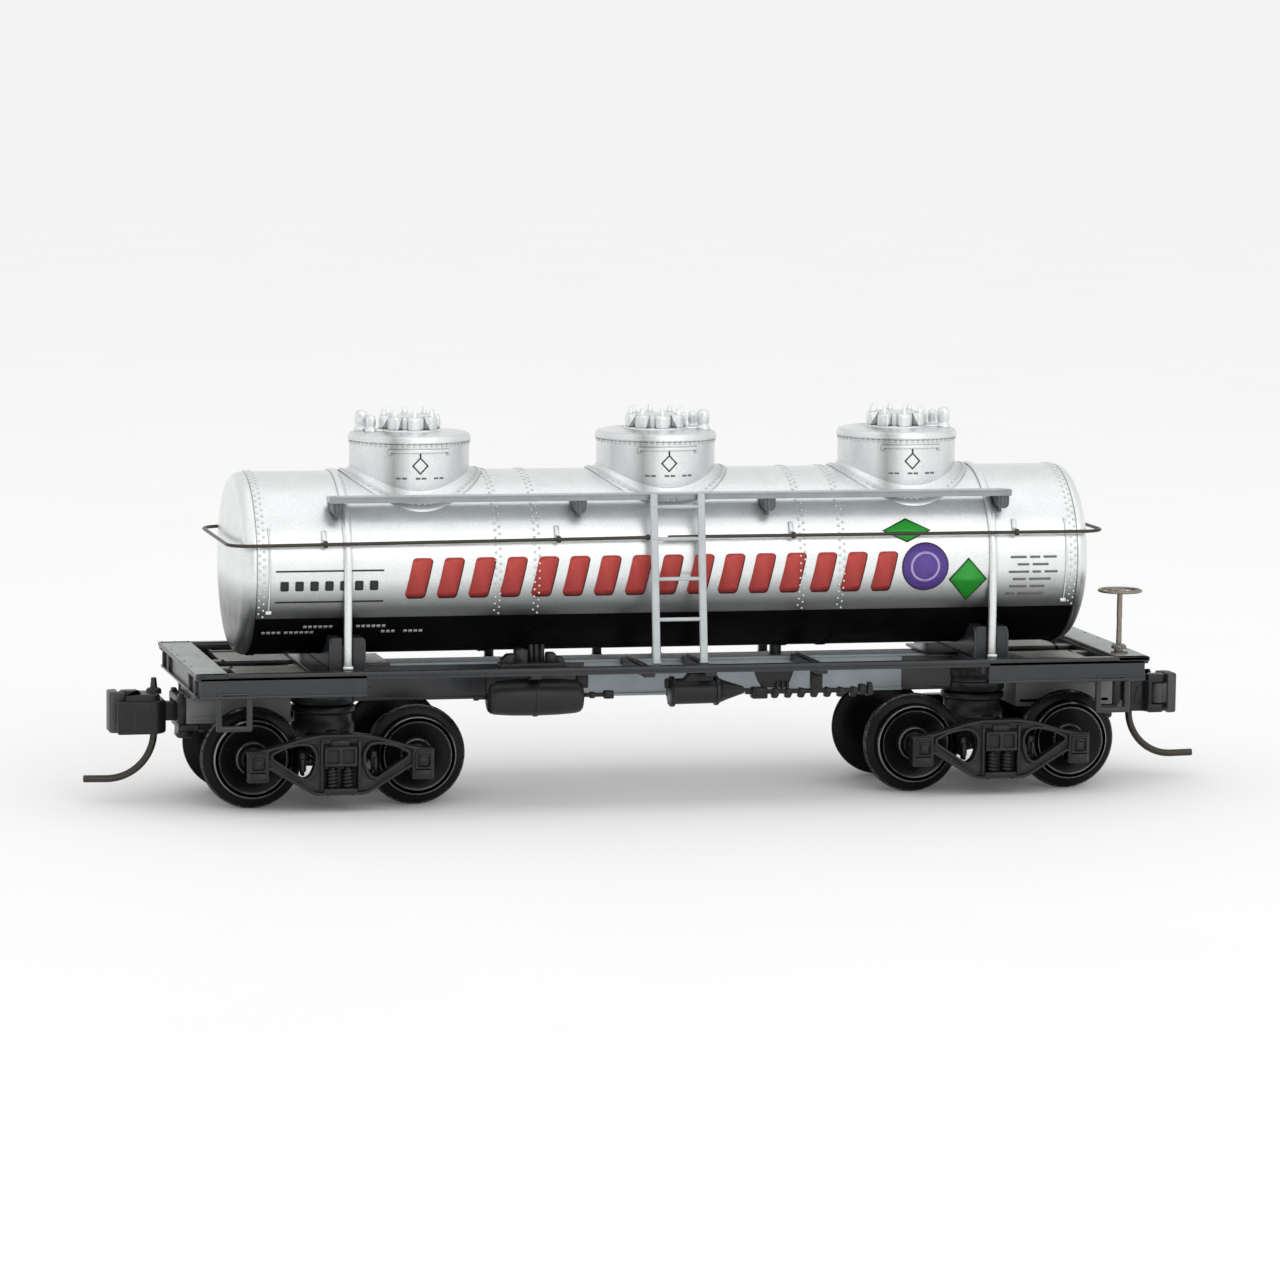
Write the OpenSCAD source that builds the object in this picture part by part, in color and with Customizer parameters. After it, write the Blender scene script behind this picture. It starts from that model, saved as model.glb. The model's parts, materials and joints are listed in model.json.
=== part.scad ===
// Three-dome tank wagon for 9 mm gauge track, at 1:160.
// Origin on the floor under the middle of the wagon, +X along it towards the brake end, +Y to its far side.
// The wagon stands on its wheel flanges at z = 0. End "a" is at -X and end "b" at +X.

/* [Wheels and trucks] */
// Wheel tread radius
tread_r = 2.65; // [2.60:0.01:2.70]
// Depth of the flange beyond the tread
flange_depth = 0.70; // [0.62:0.01:0.72]
// Half of the gap between the backs of a wheelset's wheels
wheel_back = 3.78; // [3.74:0.01:3.80]
// Width of a wheel, back to rim face
wheel_w = 1.25; // [1.15:0.01:1.30]
// Half of a truck's wheelbase
half_wheelbase = 5.44; // [5.35:0.01:5.50]
// Distance from the middle of the wagon to a kingpin
truck_x = 22.44; // [22.30:0.01:22.60]
// Clearance around every turning pin and axle
running_gap = 0.05; // [0.03:0.01:0.08]

/* [Underframe] */
// Half length over the end platforms
frame_half_l = 32.2; // [32.1:0.05:32.4]
// Half width over the side sills
frame_half_w = 8.57; // [8.50:0.01:8.70]
// Height of the platforms and side sills
sill_top_z = 9.45; // [9.40:0.01:9.50]
// Height of the underside of the deep sills at the ends
deep_sill_z = 7.83; // [7.70:0.01:7.90]
// Half width of the centre sill
centre_sill_half_w = 1.2; // [1.1:0.05:1.3]

/* [Tank] */
// Outer radius of the tank
tank_r = 6.03; // [5.98:0.01:6.06]
// Height of the tank's axis
tank_z = 15.68; // [15.64:0.01:15.72]
// Half length of the barrel between its head seams
barrel_half_l = 27.8; // [27.6:0.05:28.0]
// Wall of the barrel
tank_wall = 0.83; // [0.70:0.01:0.90]
// Distance from the middle to the outer domes
dome_x = 16.735; // [16.50:0.01:17.00]
// Radius of a dome
dome_r = 3.955; // [3.90:0.01:4.00]
// Height of a dome's flat top
dome_top_z = 24.35; // [24.20:0.05:24.40]

/* [Walkways, ladders and rails] */
// Half length of a walkway
walkway_half_l = 23.1; // [22.9:0.1:23.3]
// Height of a walkway's upper face
walkway_top_z = 20.53; // [20.48:0.01:20.58]
// Distance between a ladder's stiles, centre to centre
ladder_w = 3.2; // [3.0:0.1:3.4]
// Half of the handrails' overall length
rail_half_l = 29.65; // [29.62:0.01:29.80]
// Diameter of the handrail wire
rail_d = 0.24; // [0.20:0.01:0.24]

/* [Couplers] */
// Distance from the middle to a coupler's pivot
coupler_pivot_x = 29.0; // [28.95:0.01:29.05]
// Height of the couplers' centre
coupler_z = 5.98; // [5.96:0.01:6.00]
// Distance from the middle to a coupler's pulling face
pulling_face_x = 36.65; // [36.55:0.05:36.75]

/* [Hidden] */

$fn = 48;
eps = 0.01;
end_a = -1;
end_b = 1;
near = -1;
far = 1;

// Wheels and axles
flange_r = tread_r + flange_depth;
axle_z = flange_r;
axle_r = 0.62;
wheel_seat_r = 0.50;
journal_r = 0.30;
journal_end = 6.45;
// Wheelsets 1 and 2 are in truck a, 3 and 4 in truck b, counted from end a.
axle_x = [-truck_x - half_wheelbase, -truck_x + half_wheelbase,
    truck_x - half_wheelbase, truck_x + half_wheelbase];

// Trucks
side_frame_in = 5.90;
side_frame_out = 6.90;
axle_box_out = 7.30;
truck_bolster_z = 3.30;
truck_bolster_top = 4.60;
centre_plate_z = 6.30;
centre_plate_r = 2.20;
truck_column_r = 2.15;
kingpin_r = 0.60;
kingpin_top = 8.40;

// Underframe
bolster_in = 20.6;
bolster_out = 24.3;
bolster_z = 7.80;
bolster_top = 9.20;
deck_z = 8.70;
deck_top = 9.00;
sill_w = 1.00;
sill_web_in = frame_half_w - 0.62;
thin_sill_h = 0.48;
crossbearers = [-9.65, -2.10, 2.10, 9.65];
crossbearer_z = 8.60;
crossbearer_top = 9.20;
centre_sill_z = 6.50;
draft_z = 7.05;
pocket_front = 32.4;
pocket_half_w = 2.00;
pocket_in = 24.9;
pocket_screw_x = 26.0;
pocket_screw_r = 0.45;
pocket_screw_head_r = 0.80;
platform_in = 30.0;
end_sill_x = 31.6;

// Tank fittings
band_x = 21.87;
band_w = 0.52;
band_t = 0.16;
saddle_top = 11.40;
saddle_half_y = 6.00;
tank_screw_x = 8.5;
tank_screw_r = 0.40;

// Walkways, ladders and handrails
walkway_in = 4.50;
walkway_out = 6.10;
walkway_t = 0.30;
bracket_x = [22.53, 6.4];
bracket_in = 4.20;
ladder_foot_y = 7.70;
ladder_top_y = 6.25;
stile_t = 0.30;
stile_w = 0.50;
rung_z = [12.36, 15.00, 17.60, 19.70];
rail_y = 6.28;
rail_bend = 1.50;
rail_z_a = 17.45;
rail_z_b = 17.70;
rail_r = rail_d / 2;
stanchion_x = [23.4, 7.95];

// Brake gear
brake_staff_x = 30.67;
brake_staff_y = -6.50;
brake_staff_r = 0.19;
brake_wheel_z = 13.55;
brake_y = -6.30;
reservoir_x = -9.47;
reservoir_z = 7.27;
cylinder_x = 1.30;
valve_x = -9.65;
cylinder_z = 7.45;

// Couplers
shank_half_h = 0.60;
shank_half_w = 0.50;
pocket_back = coupler_pivot_x - 1.35;
pocket_roof = coupler_z + shank_half_h + 0.06;
pocket_floor = coupler_z - shank_half_h - 0.06;
post_r = 0.50;
knuckle_u = 6.35;
knuckle_v = -1.05;
knuckle_hub_r = 0.50;
knuckle_pin_r = 0.16;
head_low = coupler_z - 1.36;
head_high = coupler_z + 1.27;
ear_t = 0.58;
trip_pin_u = 4.70;
trip_pin_r = 0.25;
pull_u = pulling_face_x - coupler_pivot_x;

// Rings of the trip pin, each [x, z, angle from straight down]: the straight, the bend, the tail.
trip_pin_bend = 3.07;
trip_pin_top = 8.20;
trip_pin_tail = 1.76;
trip_pin_turn = 91;
trip_pin_steps = 14;
trip_pin_arc = [for (i = [0 : trip_pin_steps]) let (a = trip_pin_turn * i / trip_pin_steps)
    [trip_pin_bend * (1 - cos(a)), head_low - trip_pin_bend * sin(a), a]];
trip_pin_last = trip_pin_arc[trip_pin_steps];
trip_pin_rings = concat([[0, trip_pin_top, 0]], trip_pin_arc, [[
    trip_pin_last[0] + trip_pin_tail * sin(trip_pin_turn),
    trip_pin_last[1] - trip_pin_tail * cos(trip_pin_turn),
    trip_pin_turn]]);

// ---- helpers ----

// Puts a piece drawn for end b at either end, turning it about the middle of the wagon.
module at_end(end) {
    rotate([0, 0, end == end_b ? 0 : 180]) children();
}

// A box from its lowest to its highest corner.
module box(low, high) {
    translate(low) cube(high - low);
}

// The same box on both sides of the wagon's centreline.
module box_both(low, high) {
    box(low, high);
    mirror([0, 1, 0]) box(low, high);
}

module bar_x(x0, x1, r, y = 0, z = 0) {
    translate([x0, y, z]) rotate([0, 90, 0]) cylinder(r = r, h = x1 - x0);
}

module bar_y(y0, y1, r, x = 0, z = 0) {
    translate([x, y0, z]) rotate([-90, 0, 0]) cylinder(r = r, h = y1 - y0);
}

module bar_z(z0, z1, r, x = 0, y = 0) {
    translate([x, y, z0]) cylinder(r = r, h = z1 - z0);
}

// An outline drawn in X and Z, given thickness along Y.
module slab_xz(y0, y1) {
    translate([0, y1, 0]) rotate([90, 0, 0]) linear_extrude(y1 - y0) children();
}

module tank_space(r, half_l = barrel_half_l + 2) {
    bar_x(-half_l, half_l, r, 0, tank_z);
}

// ---- underframe ----

module side_sill() {
    lip = 0.12;
    inner = frame_half_w - sill_w;
    web_out = frame_half_w - lip;
    top_lip = 0.30;
    low_lip = 0.24;
    deep_in = 21.0;
    deep_out = 31.9;
    half_l = frame_half_l - 0.05;
    box([-half_l, inner, sill_top_z - thin_sill_h], [half_l, web_out, sill_top_z]);
    box([-half_l, sill_web_in, sill_top_z - top_lip], [half_l, frame_half_w, sill_top_z]);
    for (end = [end_a, end_b]) at_end(end) mirror([0, end == end_a ? 1 : 0, 0]) {
        box([deep_in, sill_web_in, deep_sill_z], [deep_out, web_out, sill_top_z - eps]);
        box([deep_in, sill_web_in, deep_sill_z], [deep_out, frame_half_w, deep_sill_z + low_lip]);
        box([deep_in, inner, deep_sill_z], [deep_out, web_out, deep_sill_z + 0.15]);
    }
}

// Everything of the underframe that one end holds: platform, end sill with its ribs, deck plates and bolster.
module frame_end() {
    platform_t = 0.30;
    platform_low = sill_top_z - platform_t;
    wall = 0.3;
    rib_half_w = 0.2;
    rib_out = end_sill_x + 0.5;
    deck_out = 29.0;
    deck_half_w = 6.4;
    deck_slot = 1.3;
    bolster_low_half = 4.2;
    strap_in = 18.4;
    strap_half_w = 2.5;
    box([platform_in, -frame_half_w, platform_low], [frame_half_l, frame_half_w, sill_top_z]);
    box([end_sill_x, -sill_web_in, deep_sill_z], [end_sill_x + wall, sill_web_in, platform_low]);
    for (y = [-7.2, -4.6, 4.6, 7.2])
        box([end_sill_x, y - rib_half_w, deep_sill_z], [rib_out, y + rib_half_w, platform_low]);
    box([platform_in, -sill_web_in, deck_z], [platform_in + wall, sill_web_in, platform_low + eps]);
    box_both([bolster_out - eps, deck_slot, deck_z], [deck_out, deck_half_w, deck_top]);
    box_both([deck_out - wall, deck_half_w - eps, deck_z], [deck_out, sill_web_in, deck_top]);
    box_both([deck_out - wall, deck_slot, deck_z], [platform_in + 0.1, deck_slot + 1, deck_top]);
    box([strap_in, -strap_half_w, deck_top], [bolster_in + eps, strap_half_w, bolster_top]);
    difference() {
        union() {
            box([bolster_in, -sill_web_in, bolster_z + 0.6], [bolster_out, sill_web_in, bolster_top]);
            box([bolster_in, -bolster_low_half, bolster_z], [bolster_out, bolster_low_half, bolster_top]);
            bar_z(centre_plate_z, bolster_z + eps, centre_plate_r, truck_x);
        }
        bar_z(centre_plate_z - 1, kingpin_top, kingpin_r, truck_x);
    }
}

// Under the near sill it is level with the deck; on the far side it hangs lower, on a post under the sill.
module crossbearer(x) {
    half_w = 0.4;
    reach = frame_half_w - sill_w + 0.2;
    post_half_w = 0.3;
    low = 7.60;
    box([x - half_w, -reach, crossbearer_z], [x + half_w, -centre_sill_half_w, crossbearer_top]);
    box([x - half_w, centre_sill_half_w, low], [x + half_w, reach, low + crossbearer_top - crossbearer_z]);
    box([x - post_half_w, reach - 0.3, low], [x + post_half_w, reach + 0.15, sill_top_z - thin_sill_h + eps]);
}

module underframe() {
    color([0.09, 0.09, 0.10]) difference() {
        union() {
            side_sill();
            mirror([0, 1, 0]) side_sill();
            for (end = [end_a, end_b]) at_end(end) frame_end();
            for (x = crossbearers) crossbearer(x);
        }
        box([-bolster_in, -centre_sill_half_w, centre_sill_z], [bolster_in, centre_sill_half_w, deck_top]);
    }
}

module centre_sill() {
    lip = 0.18;
    web = centre_sill_half_w - 0.25;
    color([0.36, 0.37, 0.39]) difference() {
        union() {
            box([-bolster_in, -web, centre_sill_z], [bolster_in, web, deck_top]);
            for (z = [centre_sill_z, deck_top - lip])
                box([-bolster_in, -centre_sill_half_w, z], [bolster_in, centre_sill_half_w, z + lip]);
        }
        for (x = [-tank_screw_x, tank_screw_x]) {
            bar_z(centre_sill_z - 1, deck_top + 1, tank_screw_r, x);
            bar_z(centre_sill_z - 1, centre_sill_z + 0.8, 0.9, x);
        }
    }
}

module stirrup_step() {
    low = 5.70;
    bar = 0.38;
    x0 = 28.50;
    x1 = 30.85;
    y0 = frame_half_w - 0.42;
    y1 = frame_half_w - 0.04;
    box([x0, y0, low], [x1, y1, low + bar]);
    box([x0, y0, low], [x0 + bar, y1, deep_sill_z]);
    box([x1 - bar, y0, low], [x1, y1, deep_sill_z]);
}

module stirrup_steps() {
    color([0.10, 0.10, 0.11]) for (end = [end_a, end_b]) at_end(end) {
        stirrup_step();
        mirror([0, 1, 0]) stirrup_step();
    }
}

// The grey draft casting: the draft sill under the deck, and the pocket that holds the coupler's shank.
module coupler_pocket(end) {
    cavity_half_w = 1.40;
    sill_half_w = 2.45;
    color([0.30, 0.31, 0.32]) at_end(end) difference() {
        union() {
            box([pocket_in, -sill_half_w, draft_z], [end_sill_x - 0.05, sill_half_w, deck_z]);
            box([pocket_in, -pocket_half_w, pocket_floor], [pocket_front, pocket_half_w, draft_z + eps]);
        }
        box([pocket_back, -cavity_half_w, pocket_floor - 1], [pocket_front + 1, cavity_half_w, pocket_roof]);
        bar_z(draft_z - 1, deck_z + 1, pocket_screw_r, pocket_screw_x);
        bar_z(pocket_floor - 1, draft_z, pocket_screw_head_r + 0.1, pocket_screw_x);
        bar_z(pocket_roof - eps, pocket_roof + 0.3, post_r, coupler_pivot_x);
    }
}

// Closes the pocket from below; its post is the coupler's pivot and its front tab stops the shank.
module pocket_lid(end) {
    lid_low = pocket_floor - 0.42;
    tab_h = 0.65;
    color([0.10, 0.10, 0.11]) at_end(end) {
        box([pocket_back - 0.4, -pocket_half_w, lid_low], [pocket_front - 0.1, pocket_half_w, pocket_floor]);
        box([pocket_front - 1.2, -1.0, lid_low - tab_h], [pocket_front - 0.2, 1.0, lid_low + eps]);
        bar_z(pocket_floor - eps, pocket_roof + 0.25, post_r, coupler_pivot_x);
    }
}

module pocket_screws() {
    color([0.55, 0.55, 0.56]) for (end = [end_a, end_b]) at_end(end) {
        bar_z(draft_z, deck_z, pocket_screw_r, pocket_screw_x);
        difference() {
            bar_z(draft_z - 0.5, draft_z + eps, pocket_screw_head_r, pocket_screw_x);
            box([pocket_screw_x - 0.6, -0.1, draft_z - 1], [pocket_screw_x + 0.6, 0.1, draft_z - 0.3]);
        }
    }
}

// The pin that a truck turns on: pressed into the bolster, with its head under the truck.
module kingpin(end) {
    color([0.30, 0.30, 0.32]) at_end(end) {
        bar_z(truck_bolster_z - 0.1, kingpin_top, kingpin_r, truck_x);
        bar_z(truck_bolster_z - 0.5, truck_bolster_z - 0.05, 1.05, truck_x);
    }
}

// ---- tank ----

module tank_saddle(end) {
    half_x = 1.20;
    groove = 0.34;
    color([0.09, 0.09, 0.10]) at_end(end) difference() {
        box([band_x - half_x, -saddle_half_y, bolster_top], [band_x + half_x, saddle_half_y, saddle_top]);
        tank_space(tank_r);
        for (side = [near, far])
            box([band_x - groove, side * saddle_half_y - 0.25, bolster_top + 0.3],
                [band_x + groove, side * saddle_half_y + 0.25, saddle_top + 1]);
    }
}

module tank_barrel() {
    color([0.78, 0.79, 0.80]) difference() {
        tank_space(tank_r, barrel_half_l);
        tank_space(tank_r - tank_wall, barrel_half_l + 1);
        for (x = [-tank_screw_x, tank_screw_x])
            bar_z(tank_z - tank_r - 1, tank_z - tank_r + 2, tank_screw_r, x);
    }
}

// A head: a rounded knuckle at the rim, a shallow dish inside it, and a spigot that plugs into the barrel.
module tank_head(end) {
    knuckle = 0.90;
    dish = 0.36;
    flat_r = tank_r - knuckle;
    dish_r = (flat_r * flat_r + dish * dish) / (2 * dish);
    face = barrel_half_l + knuckle;
    color([0.78, 0.79, 0.80]) at_end(end) translate([0, 0, tank_z]) rotate([0, 90, 0]) {
        translate([0, 0, barrel_half_l - 1.0]) cylinder(r = tank_r - tank_wall, h = 1.0 + eps);
        translate([0, 0, barrel_half_l]) cylinder(r = flat_r, h = knuckle);
        intersection() {
            translate([0, 0, barrel_half_l]) rotate_extrude() translate([flat_r, 0]) circle(r = knuckle);
            translate([0, 0, barrel_half_l]) cylinder(r = tank_r + 1, h = knuckle + 1);
        }
        intersection() {
            translate([0, 0, face + dish - dish_r]) sphere(r = dish_r, $fn = 96);
            translate([0, 0, face - 0.1]) cylinder(r = flat_r, h = 1);
        }
    }
}

module tank_weight() {
    clearance = 0.05;
    half_l = barrel_half_l - 2.2;
    r = tank_r - tank_wall - clearance;
    color([0.45, 0.45, 0.47]) difference() {
        bar_x(-half_l, half_l, r, 0, tank_z);
        box([-half_l - 1, -tank_r, tank_z - 0.5], [half_l + 1, tank_r, tank_z + tank_r]);
        for (x = [-tank_screw_x, tank_screw_x])
            bar_z(tank_z - tank_r, tank_z, tank_screw_r + 0.1, x);
    }
}

module tank_screws() {
    head_z = centre_sill_z + 0.3;
    color([0.55, 0.55, 0.56]) for (x = [-tank_screw_x, tank_screw_x]) {
        bar_z(centre_sill_z + 0.8 - eps, tank_z - tank_r + 1.6, tank_screw_r, x);
        difference() {
            bar_z(head_z, centre_sill_z + 0.8, 0.85, x);
            box([x - 0.6, -0.1, head_z - 1], [x + 0.6, 0.1, head_z + 0.2]);
        }
    }
}

// A dome: shell, saddle flange, riveted rim, rounded top, and a placard rail on each side.
module dome(x) {
    flange_out = 4.75;
    flange_t = 0.12;
    rim_r = dome_r + 0.115;
    rim_z = dome_top_z - 0.60;
    round_over = 0.35;
    wall = 0.65;
    rail_z = dome_top_z - 1.15;
    rail_half = 1.93;
    color([0.80, 0.81, 0.82]) translate([x, 0, 0]) difference() {
        union() {
            bar_z(tank_z + 2.5, dome_top_z - round_over, dome_r);
            intersection() {
                bar_x(-flange_out, flange_out, tank_r + flange_t, 0, tank_z);
                bar_z(tank_z + 2.5, dome_top_z, flange_out);
            }
            bar_z(rim_z, dome_top_z - round_over, rim_r);
            bar_z(rim_z, dome_top_z, rim_r - round_over);
            translate([0, 0, dome_top_z - round_over]) rotate_extrude()
                translate([rim_r - round_over, 0]) circle(r = round_over);
            intersection() {
                bar_z(rail_z, rail_z + 0.16, dome_r + 0.14);
                box([-rail_half, -dome_r - 1, rail_z - 1], [rail_half, dome_r + 1, rail_z + 1]);
            }
        }
        tank_space(tank_r);
        bar_z(tank_z, dome_top_z - wall, dome_r - wall);
    }
}

// The manway ring with its swing bolts, and the two safety valves beside it.
// Each valve is [x, y, radius, height] and has a narrower cap.
module dome_fittings(x, turn) {
    base = dome_top_z;
    ring_r = 1.50;
    ring_top = base + 0.95;
    foot_h = 0.14;
    bolts = 8;
    bolt_r = 0.17;
    bolt_ring = 1.74;
    lug_in = 1.35;
    lug_out = 2.02;
    lug_half_w = 0.42;
    lug_top = base + 1.00;
    bolt_top = base + 1.42;
    valves = [[2.68, 0.62, 0.31, 1.08], [3.12, -0.62, 0.45, 1.22]];
    cap_h = 0.15;
    cap_step = 0.12;
    color([0.84, 0.85, 0.86]) translate([x, 0, 0]) rotate([0, 0, turn]) {
        bar_z(base, ring_top, ring_r);
        bar_z(base, base + foot_h, 2.15);
        for (i = [0 : bolts - 1]) rotate([0, 0, i * 360 / bolts]) {
            box([lug_in, -lug_half_w, base], [lug_out, lug_half_w, lug_top]);
            bar_z(base, bolt_top, bolt_r, bolt_ring);
        }
        for (v = valves) {
            bar_z(base, base + v[3] - cap_h, v[2], v[0], v[1]);
            bar_z(base, base + v[3], v[2] - cap_step, v[0], v[1]);
            bar_z(base, base + foot_h, v[2] + 0.1, v[0], v[1]);
        }
        box([1.5, -0.75, base], [3.0, 0.75, base + foot_h]);
    }
}

module tank_band(end) {
    leg_foot = bolster_top;
    outer = tank_r + band_t;
    low_x = band_x - band_w / 2;
    high_x = band_x + band_w / 2;
    color([0.80, 0.81, 0.82]) at_end(end) {
        difference() {
            bar_x(low_x, high_x, outer, 0, tank_z);
            tank_space(tank_r);
            box([band_x - 1, -tank_r - 1, tank_z - tank_r - 1], [band_x + 1, tank_r + 1, tank_z]);
        }
        for (side = [near, far]) mirror([0, side == near ? 1 : 0, 0]) {
            box([low_x, tank_r, leg_foot], [high_x, outer, tank_z + eps]);
            box([low_x - 0.06, tank_r, leg_foot], [high_x + 0.06, outer + 0.2, leg_foot + 0.3]);
        }
    }
}

// ---- walkways, ladders and handrails ----

module walkway(side) {
    low = walkway_top_z - walkway_t;
    landing_half = 2.3;
    color([0.62, 0.64, 0.66]) mirror([0, side == near ? 1 : 0, 0]) {
        box([-walkway_half_l + 0.3, walkway_in, low], [walkway_half_l - 0.3, walkway_out, walkway_top_z]);
        box([-walkway_half_l, walkway_in + 0.3, low], [walkway_half_l, walkway_out, walkway_top_z]);
        for (end = [-1, 1])
            bar_z(low, walkway_top_z, 0.3, end * (walkway_half_l - 0.3), walkway_in + 0.3);
        box([-landing_half, walkway_in, low - 0.12], [landing_half, walkway_out, low + eps]);
    }
}

module walkway_brackets() {
    low = walkway_top_z - walkway_t;
    half_w = 0.38;
    drop = 0.95;
    color([0.60, 0.62, 0.64]) for (side = [0, 1], end = [0, 1], x = bracket_x)
        mirror([0, side, 0]) mirror([end, 0, 0]) difference() {
            union() {
                box([x - half_w, bracket_in, low - drop + half_w], [x + half_w, walkway_out - 0.1, low]);
                bar_y(bracket_in, walkway_out - 0.1, half_w, x, low - drop + half_w);
            }
            tank_space(tank_r);
        }
}

module ladder(side) {
    foot_z = sill_top_z;
    top_z = walkway_top_z;
    lean = (ladder_foot_y - ladder_top_y) / (top_z - foot_z);
    half_t = stile_t / 2;
    color([0.70, 0.72, 0.73]) mirror([0, side == near ? 1 : 0, 0]) {
        for (x = [-ladder_w / 2, ladder_w / 2])
            translate([x - stile_w / 2, 0, 0]) rotate([90, 0, 90]) linear_extrude(stile_w) polygon([
                [ladder_foot_y - half_t, foot_z], [ladder_foot_y + half_t, foot_z],
                [ladder_top_y + half_t, top_z], [ladder_top_y - half_t, top_z]]);
        for (z = rung_z)
            bar_x(-ladder_w / 2, ladder_w / 2, 0.13, ladder_top_y + (top_z - z) * lean, z);
    }
}

// One U of wire around a tank head, drawn for end b.
// The near leg reaches behind the ladder, the far leg not quite.
module handrail_u(z) {
    near_end = -0.60;
    far_end = 1.95;
    corner_x = rail_half_l - rail_bend;
    corner_y = rail_y - rail_bend;
    bar_x(near_end, corner_x, rail_r, -rail_y, z);
    bar_x(far_end, corner_x, rail_r, rail_y, z);
    bar_y(-corner_y, corner_y, rail_r, rail_half_l, z);
    for (corner = [[corner_y, 0], [-corner_y, -90]])
        translate([corner_x, corner[0], z]) rotate([0, 0, corner[1]])
            rotate_extrude(angle = 90) translate([rail_bend, 0]) circle(r = rail_r);
    translate([far_end, rail_y, z]) sphere(r = rail_r * 1.6);
}

module handrail(end) {
    color([0.14, 0.14, 0.14]) at_end(end) handrail_u(end == end_a ? rail_z_a : rail_z_b);
}

// Eyes that hold the wire, each with its foot on the tank.
module handrail_stanchions() {
    half_w = 0.24;
    eye_r = 0.26;
    foot_in = 5.20;
    plate_out = 5.95;
    plate_h = 0.85;
    color([0.76, 0.77, 0.78]) for (side = [near, far], end = [end_a, end_b], x = stanchion_x) {
        z = end == end_a ? rail_z_a : rail_z_b;
        difference() {
            union() {
                bar_x(end * x - half_w, end * x + half_w, eye_r, side * rail_y, z);
                box([end * x - half_w, min(side * foot_in, side * rail_y), z - 0.2],
                    [end * x + half_w, max(side * foot_in, side * rail_y), z + 0.2]);
                box([end * x - half_w, min(side * foot_in, side * plate_out), z - 0.2],
                    [end * x + half_w, max(side * foot_in, side * plate_out), z + plate_h]);
            }
            bar_x(end * x - 1, end * x + 1, rail_r + eps, side * rail_y, z);
            tank_space(tank_r);
        }
    }
}

// ---- brake gear ----

module brake_staff() {
    collar_r = 0.48;
    color([0.11, 0.11, 0.12]) {
        bar_z(sill_top_z, brake_wheel_z + 0.22, brake_staff_r, brake_staff_x, brake_staff_y);
        bar_z(sill_top_z, sill_top_z + 0.12, collar_r, brake_staff_x, brake_staff_y);
        bar_z(sill_top_z + 0.3, sill_top_z + 0.6, collar_r, brake_staff_x, brake_staff_y);
    }
}

module brake_wheel() {
    rim_out = 1.50;
    rim_w = 0.26;
    t = 0.16;
    spokes = 6;
    color([0.12, 0.12, 0.13]) translate([brake_staff_x, brake_staff_y, brake_wheel_z]) difference() {
        union() {
            difference() {
                cylinder(r = rim_out, h = t);
                translate([0, 0, -1]) cylinder(r = rim_out - rim_w, h = 3);
            }
            cylinder(r = 0.42, h = t + 0.06);
            for (i = [0 : spokes - 1]) rotate([0, 0, i * 360 / spokes])
                box([0.3, -0.1, 0], [rim_out - rim_w / 2, 0.1, t]);
        }
        translate([0, 0, -1]) cylinder(r = brake_staff_r + eps, h = 3);
    }
}

module air_reservoir() {
    r = 1.25;
    end_r = r - 0.09;
    half_l = 3.19;
    color([0.10, 0.10, 0.11]) translate([reservoir_x, brake_y, reservoir_z]) {
        rotate([0, 90, 0]) rotate_extrude() polygon([
            [0, -half_l], [end_r - 0.4, -half_l], [end_r - 0.08, -half_l + 0.16], [end_r, -half_l + 0.45],
            [r - 0.02, -0.2], [r + 0.05, -0.1], [r + 0.05, 0.1], [r - 0.02, 0.2],
            [end_r, half_l - 0.45], [end_r - 0.08, half_l - 0.16], [end_r - 0.4, half_l], [0, half_l]]);
        box([-0.55, -0.35, 0.9], [0.22, 0.35, crossbearer_z - reservoir_z]);
    }
}

module brake_cylinder() {
    r = 0.85;
    body_half = 1.45;
    color([0.10, 0.10, 0.11]) translate([cylinder_x, brake_y, cylinder_z]) {
        bar_x(-body_half, body_half, r);
        bar_x(-body_half - 0.2, -body_half + 0.08, r + 0.17);
        bar_x(body_half - 0.08, body_half + 0.2, r + 0.17);
        translate([body_half + 0.15, 0, 0]) rotate([0, 90, 0]) cylinder(r1 = 0.85, r2 = 0.22, h = 1.9);
        slab_xz(-0.4, 0.4) polygon([[-0.9, 0.6], [1.1, 0.6], [1.3, crossbearer_z - cylinder_z],
            [0.3, crossbearer_z - cylinder_z]]);
    }
}

// Its housings from left to right: cover, body, three bolts, and two smaller chambers.
module brake_valve() {
    base_t = 0.35;
    half_y = 0.55;
    blocks = [[-2.10, -1.20, 0.95], [-1.21, -0.40, 1.30], [0.88, 1.50, 1.00], [1.49, 2.05, 0.75]];
    bolts = [-0.13, 0.22, 0.62];
    color([0.10, 0.10, 0.11]) translate([valve_x, brake_y, crossbearer_top]) {
        box([-2.25, -half_y - 0.1, 0], [2.15, half_y, base_t]);
        for (b = blocks) box([b[0], -half_y, 0], [b[1], half_y - 0.1, b[2]]);
        for (x = bolts) bar_z(0, 1.57, 0.15, x);
    }
}

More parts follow.
